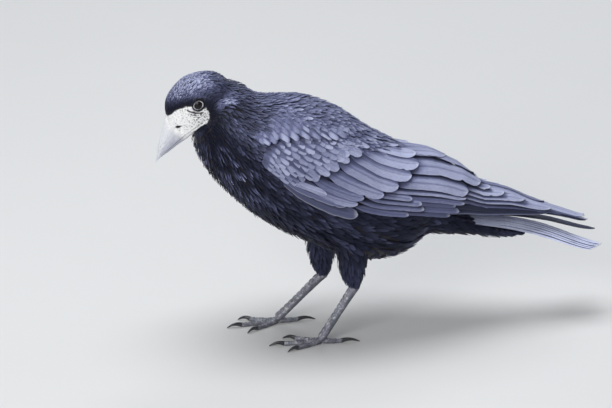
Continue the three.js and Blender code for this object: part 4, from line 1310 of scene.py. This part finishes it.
# Lines where the feathers of the row above end, as (x, share): a row is in their shade just behind them.
COVER_OF = {
    "primaries": [(104, .0), (110, .1), (118, .3), (124, .48), (138, .7), (141, .9), (126, 1.02)],
    "secondaries": [(12, .1), (22, .19), (41, .24), (56, .34), (69, .47), (78, .62), (78, .78), (66, .9), (70, 1.0)],
    "greater_coverts": [(-31, .14), (-18, .21), (-8, .28), (1, .35), (12, .44), (24, .53), (33, .66), (42, .80),
                        (48, 1.0)],
}


LEFT_WING_LIFT, RIGHT_WING_LIFT = 0.5, -0.7  # mm: the left wing closes over the right one
COVERT_DROP = 2.4  # mm: the greater coverts next to the back line lie lower


def make_wing_rows():
    paint = feather_paint("wing_quills", gloss=0.42)
    for index, (name, row) in enumerate(WING_ROWS.items()):
        table = np.array(row["feathers"], float)
        share = table[:, 3, None, None]
        order = 0.28 * np.arange(len(table))[:, None, None] if name == "alula" else 0.0
        top = COVERT_DROP * smooth(0.84, 1.0, share) * (name == "greater_coverts")
        near_back = smooth(0.6, 0.8, share) * (name == "greater_coverts")
        for side, mirrored in (("left", False), ("right", True)):
            raised = RIGHT_WING_LIFT - 1.5 * top - 1.4 * near_back if mirrored else LEFT_WING_LIFT - top
            sheets = quills(wing_point, wing_arc, table[:, :2], table[:, 2:4], table[:, 4],
                            tuple(height + raised + order for height in row["lift"]), row["tilt"], row["thick"],
                            stations=24, ragged=0.03, far_edge=0.93 if mirrored else 1.3, swing=table[:, 7],
                            seed=50 + index, **row["form"])
            piece = quill_mesh(f"vanes_{side}_{name}", paint, "wing_feathers", *sheets, table[:, 5], table[:, 6],
                               mirrored, cover=COVER_OF.get(name), **row["shades"])
            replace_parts(piece, f"wing_{side}_{name}")


# Scale-like coverts: lines of the tips of the foremost and the last row, as (x, share).
LESSER_FRONT = [(-60, .03), (-58, .17), (-51, .34), (-36, .46), (-12, .54), (12, .63), (28, .76)]
LESSER_LAST = [(-44, .02), (-36, .12), (-26, .19), (-16, .26), (-6, .34), (5, .43), (18, .54), (32, .70)]
MEDIAN_TIPS = [(-31, .19), (-18, .215), (-8, .285), (1, .36), (12, .44), (24, .54), (34, .67), (44, .82), (52, .97)]
SCAPULAR_FRONT = [(-76, .40), (-64, .62), (-50, .78), (-28, .88), (-6, .92), (16, .94), (36, .95)]
SCAPULAR_LAST = [(-64, .32), (-57, .385), (-44, .44), (-30, .50), (-16, .54), (-4, .575), (8, .61), (18, .68),
                 (27, .80), (40, .97)]


def line_between(first, last, f):
    """A line of places a share f of the way from one line to another."""
    s = np.linspace(0, 1, 30)
    return along_line(first, s) * (1 - f) + along_line(last, s) * f


def roots_behind(tips, s, length, slope_deg):
    """Roots of small coverts from their tips, which stand at shares s of their row."""
    slope = np.radians(np.interp(s, np.linspace(0, 1, len(slope_deg)), slope_deg))
    reach = np.interp(s, np.linspace(0, 1, len(length)), length)
    root_x = tips[:, 0] - reach * np.cos(slope)
    arc = wing_arc((tips[:, 0] + root_x) / 2)
    return np.stack([root_x, tips[:, 1] + reach * np.sin(slope) / arc], axis=-1)


def place_row(line, count, row, length, slope_deg):
    """Roots and tips of one row of small coverts. Every other row is shifted by half a feather."""
    s = np.clip((np.arange(count) + 0.5 + (0.5 * (row % 2) - 0.25)) / count, 0, 1)
    tips = along_line(line, s)
    return roots_behind(tips, s, length, slope_deg), tips


def covert_rows():
    """Rows of the small coverts: roots, tips, half width, lift, tone and pale edge of each."""
    lesser, scapulars = [], []
    rows = 6
    for j in range(rows):
        f = j / (rows - 1)
        reach = 0.5 + 0.5 * smooth(0, 0.45, f)
        roots, tips = place_row(line_between(LESSER_FRONT, LESSER_LAST, f), int(14 - 2 * f), j,
                                (15 * reach, 18 * reach, 18), (2, 6, 4, -2))
        lesser.append((roots, tips, 3.9 + 0.8 * f, 3.0 + 0.16 * j, 0.80, 0.12))
    tips = np.array(MEDIAN_TIPS)
    s = (np.arange(len(tips)) + 0.5) / len(tips)
    median = [(roots_behind(tips, s, (25.0,), (16, 13, 2)), tips, 6.2, 4.1, 0.82, 0.12)]
    rows = 8
    for j in range(rows):
        f = j / (rows - 1)
        late = smooth(0.7, 1.0, f)
        roots, tips = place_row(line_between(SCAPULAR_FRONT, SCAPULAR_LAST, f), int(13 - f), j,
                                (13, 16, 18, 20, 22), (38, 30, 24, 16, 6))
        scapulars.append((roots, tips, 4.3 + 0.9 * late, 4.2 + 0.12 * j + 0.5 * late, 0.56 + 0.36 * late, 0.2))
    return {"lesser_coverts": lesser, "median_coverts": median, "scapulars": scapulars}


def make_coverts():
    paint = feather_paint("wing_coverts", gloss=0.46)
    for index, (name, parts) in enumerate(covert_rows().items()):
        roots, tips = (np.concatenate([p[i] for p in parts]) for i in (0, 1))
        sizes = [len(p[0]) for p in parts]
        widths, lift, tone, fringe = (np.repeat([p[i] for p in parts], sizes) for i in range(2, 6))
        n = len(roots)
        rng = np.random.default_rng(70 + index)
        tips = tips + rng.normal(0, 0.6, (n, 2)) * (1, 0.008)
        widths = widths * (1 + 0.07 * rng.standard_normal(n))
        ridge = name == "scapulars"
        tone = np.clip(tone * (1 + 0.13 * rng.standard_normal(n)), 0.05, 1)
        fringe = np.clip(fringe * (1 + 0.25 * rng.standard_normal(n)), 0, 1)
        for side, mirrored in (("left", False), ("right", True)):
            sheets = quills(wing_point, wing_arc, roots, tips, widths,
                            (lift[:, None, None] - 3.2, lift[:, None, None]), 1.1, 0.4, blunt=0.68, camber=0.6,
                            tip_drop=1.6 if ridge else 0.2, stations=12, ragged=0.04, soft=0.5 if ridge else 0.26,
                            far_edge=0.93 if mirrored else 1.06, columns=COVERT_COLUMNS, rows=sizes,
                            seed=80 + index)
            q, dark = sheets[2]["q"], sheets[2]["dark"]
            # Painted shade: the root half of each covert, under the row above, is dark, and so is the scapulars'
            # tip, which turns under.
            dark = np.maximum(dark * (1.0 if ridge else 0.8), 0.6 * smooth(0.62, 0.40, q))
            if ridge:
                dark = np.maximum(dark, 0.75 * smooth(0.84, 1.0, q))
            sheets[2]["dark"] = dark
            quill_mesh(f"vanes_{side}_{name}", paint, "wing_feathers", *sheets, tone, fringe * (not ridge), mirrored,
                       0.12, 0.15, shadow=0.75)


def make_shoulder():
    """The wing's own flesh under the coverts: the feathered forearm."""
    paint = feather_paint("under_down", gloss=0.6, sheen=0.1)
    lower = [(-62, .06), (-56, .03), (-38, .08), (-12, .2), (8, .36), (32, .58)]
    upper = [(-62, .12), (-59, .24), (-52, .37), (-32, .48), (-4, .57), (28, .72)]
    u = np.linspace(0, 1, 40)
    v = np.linspace(0, 1, 14)
    low, high = along_line(lower, u), along_line(upper, u)
    place = low[:, None] + (high - low)[:, None] * v[None, :, None]
    crown = 0.7 * np.sin(np.pi * v)[None] * np.minimum(1, 4 * u)[:, None]
    outer = wing_point(place[..., 0], place[..., 1], -1.0 + crown)
    inner = wing_point(place[..., 0], place[..., 1], -9.0 + 0 * crown)
    points, quads, tris = loft(np.concatenate([outer, inner[:, ::-1]], axis=1))
    for side, sign in (("left", 1), ("right", -1)):
        flip = slice(None, None, sign)
        mesh = mesh_from(f"shoulder_{side}", points * (1, sign, 1), quads[:, flip], tris[:, flip])
        add_values(mesh, "tone", np.full(len(points), 0.08))
        add_values(mesh, "fringe", np.zeros(len(points)))
        add_uv(mesh, "Vane", points[:, [1, 0]] * 0.1)
        piece = put(mesh, paint)
        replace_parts(piece, f"wing_{side}_forearm")


def flatter_tail_point(x, s, lift):
    return tail_point(x, s, lift, flatter=1.0)


def make_tail():
    paint = feather_paint("tail_quills", gloss=0.40, light=(0.72, 0.77, 1.0))
    count = 6
    s = np.linspace(0.10, 0.87, count)
    tip_x = 250 + (237 - 250) * s ** 1.6
    roots = np.stack([np.full(count, 100.0), 0.72 * s], axis=-1)
    tips = np.stack([tip_x, 0.40 + (s - 0.10) * 0.66], axis=-1)
    order = 1.7 - 0.40 * np.arange(count)[:, None, None]
    for side, mirrored, surface in (("left", False, tail_point), ("right", True, flatter_tail_point)):
        sheets = quills(surface, tail_arc, roots, tips, np.full(count, 2.7), (order - 0.2, order + 0.4), -0.7, 0.4,
                        blunt=0.86, shaft_at=0.18, camber=0.2, stations=26, ragged=0.02, far_edge=1.0, swing=3.0,
                        seed=90)
        values = sheets[2]
        # Painted shadow: a dark line along each feather but the first, under the edge of the one above.
        line = (values["c"] + 0.25 - 0.5 * values["q"] ** 3) / 0.17
        values["dark"] = np.exp(-line ** 2) * smooth(0.1, 0.3, values["q"]) * (np.arange(count) > 0)[:, None, None]
        # Painted light: the near half is pale with painted sheen, the far half near black in painted shade.
        tone, fringe = (1.0, 0.1) if side == "left" else (0.06, 0.03)
        piece = quill_mesh(f"vanes_{side}_tail", paint, "tail_feathers", *sheets, np.full(count, tone),
                           np.full(count, fringe), mirrored, 0.0, 0.0, shadow=0.9)
        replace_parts(piece, f"tail_{side}")


# ---- Bill, eyes --------------------------------------------------------------------------------------

def make_bill():
    for half, end in (("upper", 65.5), ("lower", 62.0)):
        paint = bill_paint(f"bill_{half}_horn")
        steps, segments = 110, 72
        xs = 12 + (end - 12) * (1 - (1 - np.linspace(0, 1, steps)) ** 1.15)
        taper = np.ones(steps) if half == "upper" else np.clip((end + 1.5 - xs) / 12, 0.12, 1)
        rings = np.array([bill_section(x, half, segments, 0, t) for x, t in zip(xs, taper)])
        points = rings.reshape(-1, 3)
        outward = unit(np.stack([np.zeros(len(points)), points[:, 1], (points[:, 2] + 14) * 0.6], axis=-1))
        pit = np.zeros(len(points))
        if half == "upper":
            off = nostril_shape(points)
            flank = smooth(2.0, 4.0, np.abs(points[:, 1]))
            pit = smooth(1.05, 0.75, off) * flank
            rim = np.exp(-((off - 1.25) / 0.25) ** 2) * flank
            points = points + outward * (0.35 * rim - 2.0 * pit)[:, None]
        worn = 0.10 * grain(points * (0.25, 1, 1), 0.8, 11) + 0.12 * grain(points, 3.0, 12)
        scabby = 0.22 * grain(points, 1.1, 13) + 0.25 * np.maximum(grain(points, 2.2, 14), 0)
        scabby = smooth(40, 28, points[:, 0]) * scabby
        flatness = 1 - smooth(0.25, 0.0, np.abs(points[:, 2] - row_at_x(BILL, points[:, 0])[:, 2]))
        points = points + outward * ((worn + scabby) * flatness * smooth(66, 58, points[:, 0]))[:, None]
        mesh = mesh_from(f"bill_{half}_horny", *loft(head_to_bird(points.reshape(rings.shape))))
        ends = lambda v: np.concatenate([v, [v[0], v[-1]]])
        add_values(mesh, "along", ends(np.clip((points[:, 0] - 22) / 43, 0, 1)))
        row = row_at_x(BILL, points[:, 0])
        low = np.clip((row[:, 1] - points[:, 2]) / (row[:, 1] - row[:, 2]), 0, 1)
        add_values(mesh, "low", ends(low if half == "upper" else np.ones(len(points))))
        # Painted shade along the lower edge of the lower half, carried with the nostril pit in the same values.
        edge = 0.75 * smooth(0.55, 1.0, (row[:, 2] - points[:, 2]) / (row[:, 2] - row[:, 3])) * (half == "lower")
        add_values(mesh, "pit", ends(np.maximum(pit, edge)))
        ring_share = np.tile(np.linspace(0, 1, segments, endpoint=False), steps)
        add_uv(mesh, "Vane", np.stack([ends(ring_share), ends(points[:, 0] * 0.1)], axis=-1))
        piece = put(mesh, paint)
        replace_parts(piece, f"bill_{half}")


def eye_frame(side):
    """Directions out of an eye, forward across it and up across it, in the head's frame."""
    out = unit(np.array([0.22, side, 0.06]))
    forward = unit(np.array([1.0, 0, 0]) - out * out[0])
    return out, forward, np.cross(out, forward)


def eyeball(name, centre, out, forward, up):
    """A ball with a slightly raised cornea. Its values run round it from the middle of the pupil."""
    theta = np.linspace(0.03, np.pi - 0.03, 44)
    phi = np.linspace(0, 2 * np.pi, 48, endpoint=False)
    radius = EYE_RADIUS + 0.35 * np.exp(-(theta / 0.42) ** 2)
    rings = (centre + (np.cos(theta) * radius)[:, None, None] * out
             + (np.sin(theta) * radius)[:, None, None]
             * (np.cos(phi)[None, :, None] * forward + np.sin(phi)[None, :, None] * up))
    mesh = mesh_from(f"eyeball_{name}", *loft(head_to_bird(rings)))
    ring = np.repeat(theta, len(phi))
    add_values(mesh, "ring", np.concatenate([ring, [0, np.pi]]))
    turn = np.tile(phi / (2 * np.pi), len(theta))
    add_uv(mesh, "Vane", np.stack([np.concatenate([turn, [0, 0]]), np.concatenate([ring, [0, 3.0]])], axis=-1))
    return mesh


def eyelid(name, centre, out, forward, up):
    """A crinkled ring of skin round the opening, with a pale inner edge."""
    across = np.linspace(0, 2 * np.pi, 14, endpoint=False)
    around = np.linspace(0, 2 * np.pi, 72, endpoint=False)
    radial = np.stack([np.cos(around), np.sin(around)], axis=-1)
    middle = radial * (3.95, 3.2) - (0, 0.1)
    crinkle = 1 + 0.12 * np.sin(around * 23 + 3 * np.sin(around * 5))
    hug = np.sqrt(np.maximum(EYE_RADIUS ** 2 - (middle ** 2).sum(1), 0))
    off = 0.62 + 0.62 * np.cos(across) * crinkle[:, None]
    rise = hug[:, None] + 0.12 + 0.50 * np.sin(across) - 0.35 * np.maximum(np.cos(across), 0)
    plane = middle[:, None] + radial[:, None] * off[..., None]
    rings = centre + plane[..., :1] * forward + plane[..., 1:] * up + rise[..., None] * out
    count, seg = len(around), len(across)
    k, r = np.arange(seg), np.arange(count)[:, None]
    nxt, after = (k + 1) % seg, (r + 1) % count
    quads = np.stack([r * seg + k, r * seg + nxt, after * seg + nxt, after * seg + k], axis=-1).reshape(-1, 4)
    points = head_to_bird(rings.reshape(-1, 3))
    a, b, c = points[quads[0, :3]]
    if np.dot(np.cross(b - a, c - a), a - points[:seg].mean(0)) < 0:
        quads = quads[:, ::-1]
    mesh = mesh_from(f"eyelid_{name}", points, quads)
    inner_edge = np.tile(smooth(0.55, 0.05, np.cos(across)) * smooth(-0.6, 0.2, np.sin(across)), count)
    patchy = np.clip(0.55 + 0.55 * np.sin(around * 2 + 2.2) + 0.25 * np.sin(around * 9 + 1), 0.15, 1)
    add_values(mesh, "pale", inner_edge * np.repeat(patchy, seg))
    return mesh


def make_eyes():
    eye, lid = eye_paint(), lid_paint()
    for name, side in (("left", 1), ("right", -1)):
        place = EYE_AT * (1, side, 1), *eye_frame(side)
        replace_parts(put(eyeball(name, *place), eye), f"eye_{name}")
        put(eyelid(name, *place), lid)


# ---- Legs --------------------------------------------------------------------------------------------

def toe_heading(leg, toe):
    """Directions along a toe and across it."""
    angle = math.radians(leg["heading"] + TOES[toe][0] * leg["inward"])
    heading = np.array([-math.cos(angle), math.sin(angle), 0])
    return heading, np.array([-heading[1], heading[0], 0])


def shank_size(q):
    """Half width and half depth of the tarsus at shares of the way from heel to foot."""
    return np.interp(q, SHANK[:, 0], SHANK[:, 1]), np.interp(q, SHANK[:, 0], SHANK[:, 2])


def toe_line(leg, toe, q):
    """A toe at shares q of its length: middle line, thickness, half height, and directions along and across."""
    _, length, _, rise = TOES[toe]
    heading, side = toe_heading(leg, toe)
    size = np.interp(q, *PADS)
    path = leg["foot"] + heading * (TOE_START + q * (length - TOE_START))[:, None]
    path[:, 2] = 3 + (1.6 - 3) * np.minimum(1, q * 2.5)
    return path, size, rise * size * (1 - 0.14 * q), heading, side


def leg_solids(leg):
    heel, foot = leg["heel"], leg["foot"]
    q = np.linspace(-0.05, 1.03, 40)
    solids = [loft(tube_rings(heel + (foot - heel) * q[:, None], *shank_size(q), SIDEWAYS, 20, 0.6))]
    q = np.linspace(0, 1, 30)
    for toe in TOES:
        path, size, deep, _, side = toe_line(leg, toe, q)
        solids.append(loft(tube_rings(path, 2.3 * size * (1.08 - 0.22 * q), deep, side, 16, 0)))
    return solids


def scute_tree(material):
    """Places a rounded plate on every point, turned to the point's own directions."""
    tree = bpy.data.node_groups.new("leg_scutes", "GeometryNodeTree")
    face = tree.interface
    face.new_socket("Geometry", in_out="INPUT", socket_type="NodeSocketGeometry")
    sizes = ("Plate Length", "Plate Width", "Plate Thickness")
    for name in sizes:
        face.new_socket(name, in_out="INPUT", socket_type="NodeSocketFloat").default_value = 1.0
    face.new_socket("Geometry", in_out="OUTPUT", socket_type="NodeSocketGeometry")

    def add(kind, **inputs):
        node = tree.nodes.new(kind)
        for key, value in inputs.items():
            socket = node.inputs[key.replace("_", " ")]
            if isinstance(value, bpy.types.NodeSocket):
                tree.links.new(value, socket)
            else:
                socket.default_value = value
        return node

    def attribute(name):
        node = add("GeometryNodeInputNamedAttribute", Name=name)
        node.data_type = "FLOAT_VECTOR"
        return node.outputs["Attribute"]

    start, end = add("NodeGroupInput"), add("NodeGroupOutput")
    ball = add("GeometryNodeMeshUVSphere", Segments=10, Rings=6, Radius=0.5)
    size = add("ShaderNodeCombineXYZ", **{axis: start.outputs[name] for axis, name in zip("XYZ", sizes)})
    plate = add("GeometryNodeTransform", Geometry=ball.outputs["Mesh"], Scale=size.outputs[0])
    turn = add("FunctionNodeAxesToRotation", Primary_Axis=attribute("outward"),
               Secondary_Axis=attribute("lengthways"))
    turn.primary_axis, turn.secondary_axis = "Z", "X"
    places = add("GeometryNodeMeshToPoints", Mesh=start.outputs["Geometry"])
    spread = add("GeometryNodeInstanceOnPoints", Points=places.outputs["Points"], Instance=plate.outputs["Geometry"],
                 Rotation=turn.outputs["Rotation"], Scale=attribute("plate"))
    solid = add("GeometryNodeRealizeInstances", Geometry=spread.outputs["Instances"])
    paint = add("GeometryNodeSetMaterial", Geometry=solid.outputs["Geometry"], Material=material)
    smoothed = add("GeometryNodeSetShadeSmooth", Geometry=paint.outputs["Geometry"])
    tree.links.new(smoothed.outputs["Geometry"], end.inputs["Geometry"])
    return tree


def scute_places(leg):
    """Places, outward and lengthwise directions and sizes (mm) of the plates of one leg."""
    heel, foot = leg["heel"], leg["foot"]
    rows = []
    along = unit(foot - heel)
    front = unit(np.cross(SIDEWAYS, along))
    if front[0] > 0:
        front = -front
    for q in np.linspace(0.06, 0.95, 11):
        wide, deep = shank_size(q)
        at = heel + (foot - heel) * q + front * (deep - 0.75)
        rows.append((at, unit(front - 0.10 * along), along, (7.0, wide * 2 * 0.98, 2.6)))
    for toe, (_, length, _, _) in TOES.items():
        path, sizes, deep, heading, _ = toe_line(leg, toe, np.linspace(0.10, 0.94, int(length / 2.9)))
        path[:, 2] = path[:, 2] + deep - 0.55
        outward = unit(np.array([0, 0, 1.0]) + 0.16 * heading)
        rows += [(at, outward, heading, (3.6, 3.7 * size, 1.7)) for at, size in zip(path, sizes)]
    return rows


def scute_mesh(name, leg, tree):
    """The plates of one leg, as a mesh of their own."""
    rows = scute_places(leg)
    seeds = mesh_from(f"scutes_{name}", np.array([r[0] for r in rows]), [])
    keys = ("outward", "lengthways", "plate")
    for index, (key, scale) in enumerate(zip(keys, (1, 1, 0.001)), start=1):
        add_values(seeds, key, np.array([r[index] for r in rows]) * scale, "FLOAT_VECTOR")
    carrier = add_object(seeds.name, seeds)
    modifier = carrier.modifiers.new("scutes", "NODES")
    modifier.node_group = tree
    for item in tree.interface.items_tree:
        if item.item_type == "SOCKET" and item.in_out == "INPUT" and item.name.startswith("Plate"):
            modifier[item.identifier] = 1.0
    mesh = evaluated_mesh(carrier)
    mesh.name = f"scutes_{name}"
    points = read_points(mesh)
    points[:, 2] = np.maximum(points[:, 2], 0.2)
    write_points(mesh, points)
    for extra in [a.name for a in mesh.attributes if a.name in keys]:
        mesh.attributes.remove(mesh.attributes[extra])
    return mesh


def make_legs():
    paint = leg_paint("leg_skin")
    tree = scute_tree(paint)
    for name, leg in LEGS.items():
        mesh = remeshed(f"leg_{name}", leg_solids(leg), LEG_VOXEL, 4)
        points, normals = read_points(mesh), read_normals(mesh)
        creases = 0.12 * grain(points, 1.2, 21) + 0.10 * grain(points * (1, 1, 1.4), 0.7, 22)
        points = points + normals * creases[:, None]
        points[:, 2] = np.maximum(points[:, 2], 0)
        write_points(mesh, points)
        # The skin is greyed where it faces forward and up.
        front = smooth(0.55, -0.5, normals[:, 0]) * smooth(-0.55, 0.35, normals[:, 2] - normals[:, 0] * 0.6)
        add_values(mesh, "pale_front", 0.25 + 0.75 * front)
        piece = put(mesh, paint)
        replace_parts(piece, f"tarsus_{name}", *(f"toe_{name}_{toe}" for toe in TOES))
        mesh = scute_mesh(name, leg, tree)
        add_values(mesh, "pale_front", 0.35 + 0.6 * smooth(0.6, -0.3, read_normals(mesh)[:, 0]))
        put(mesh, paint)


def make_claws():
    paint = claw_paint()
    for name, leg in LEGS.items():
        for toe, (_, length, claw, _) in TOES.items():
            heading, side = toe_heading(leg, toe)
            q = np.linspace(0, 1, 18)
            path = leg["foot"] + heading * (length - 1.2 + q * (claw + 1.5))[:, None]
            path[:, 2] = 2.1 + (0.32 - 2.1) * q ** 1.5 + 1.5 * np.sin(np.pi * q)
            wide = 1.45 * (1 - q) ** 0.7 + 0.30
            deep = 1.75 * (1 - q) ** 0.75 + 0.30
            mesh = mesh_from(f"talon_{name}_{toe}", *loft(tube_rings(path, wide, deep, side, 16, 0)))
            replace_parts(put(mesh, paint), f"claw_{name}_{toe}")


# ---- Studio ------------------------------------------------------------------------------------------

VIEW_TURN = math.radians(12)
VIEW_DOWN = math.radians(22)
VIEW_DISTANCE = 16.0
VIEW_WIDTH = 0.5464  # metres across the picture at the bird
VIEW_SHIFT = (-0.01696, 0.1134)  # metres from the bird's x = 0 to the picture's middle, to the right and up


def make_studio():
    scene = bpy.context.scene
    right = np.array([math.cos(VIEW_TURN), -math.sin(VIEW_TURN), 0])
    look = np.array([math.cos(VIEW_DOWN) * math.sin(VIEW_TURN), math.cos(VIEW_DOWN) * math.cos(VIEW_TURN),
                     -math.sin(VIEW_DOWN)])
    up = np.cross(right, look)
    target = np.array([ORIGIN_X * 0.001, 0, 0]) + VIEW_SHIFT[0] * right + VIEW_SHIFT[1] * up
    lens = bpy.data.cameras.new("camera")
    lens.sensor_width = 36
    lens.lens = 36 * VIEW_DISTANCE / VIEW_WIDTH
    lens.clip_end = 100
    camera = add_object("camera", lens)
    camera.location = target - look * VIEW_DISTANCE
    camera.rotation_euler = Vector(look).to_track_quat("-Z", "Y").to_euler()
    scene.camera = camera

    build = bmesh.new()
    bmesh.ops.create_circle(build, cap_ends=True, radius=7, segments=96)
    mesh = bpy.data.meshes.new("floor")
    build.to_mesh(mesh)
    build.free()
    mesh.materials.append(floor_paint())
    floor = add_object("floor", mesh)

    def lamp(name, at, aim, size, power, colour):
        data = bpy.data.lights.new(name, "AREA")
        data.shape = "DISK"
        data.size = size
        data.energy = power
        data.color = colour
        light = add_object(name, data)
        light.location = at
        light.rotation_euler = (Vector(aim) - Vector(at)).to_track_quat("-Z", "Y").to_euler()

    lamp("soft_top", (-0.2, 0.1, 2.4), (0, 0, 0.1), 1.5, 39, (0.95, 0.97, 1.0))
    lamp("front_left", (-1.6, -2.4, 1.45), (0, 0, 0.15), 1.8, 52, (1.0, 0.985, 0.96))
    lamp("back_rim", (1.2, 2.0, 2.2), (0, 0, 0.1), 1.2, 15, (0.93, 0.96, 1.0))
    world = bpy.data.worlds.new("studio")
    world.use_nodes = True
    sky = world.node_tree.nodes["Background"]
    sky.inputs["Color"].default_value = (0.86, 0.90, 0.97, 1)
    sky.inputs["Strength"].default_value = 0.22
    scene.world = world
    scene.view_settings.view_transform = "Standard"


make_studio()
coat_mesh = make_skin()
lay_coat(coat_mesh)
bpy.data.meshes.remove(coat_mesh)
make_shoulder()
make_coverts()
make_wing_rows()
make_tail()
make_bill()
make_eyes()
make_legs()
make_claws()
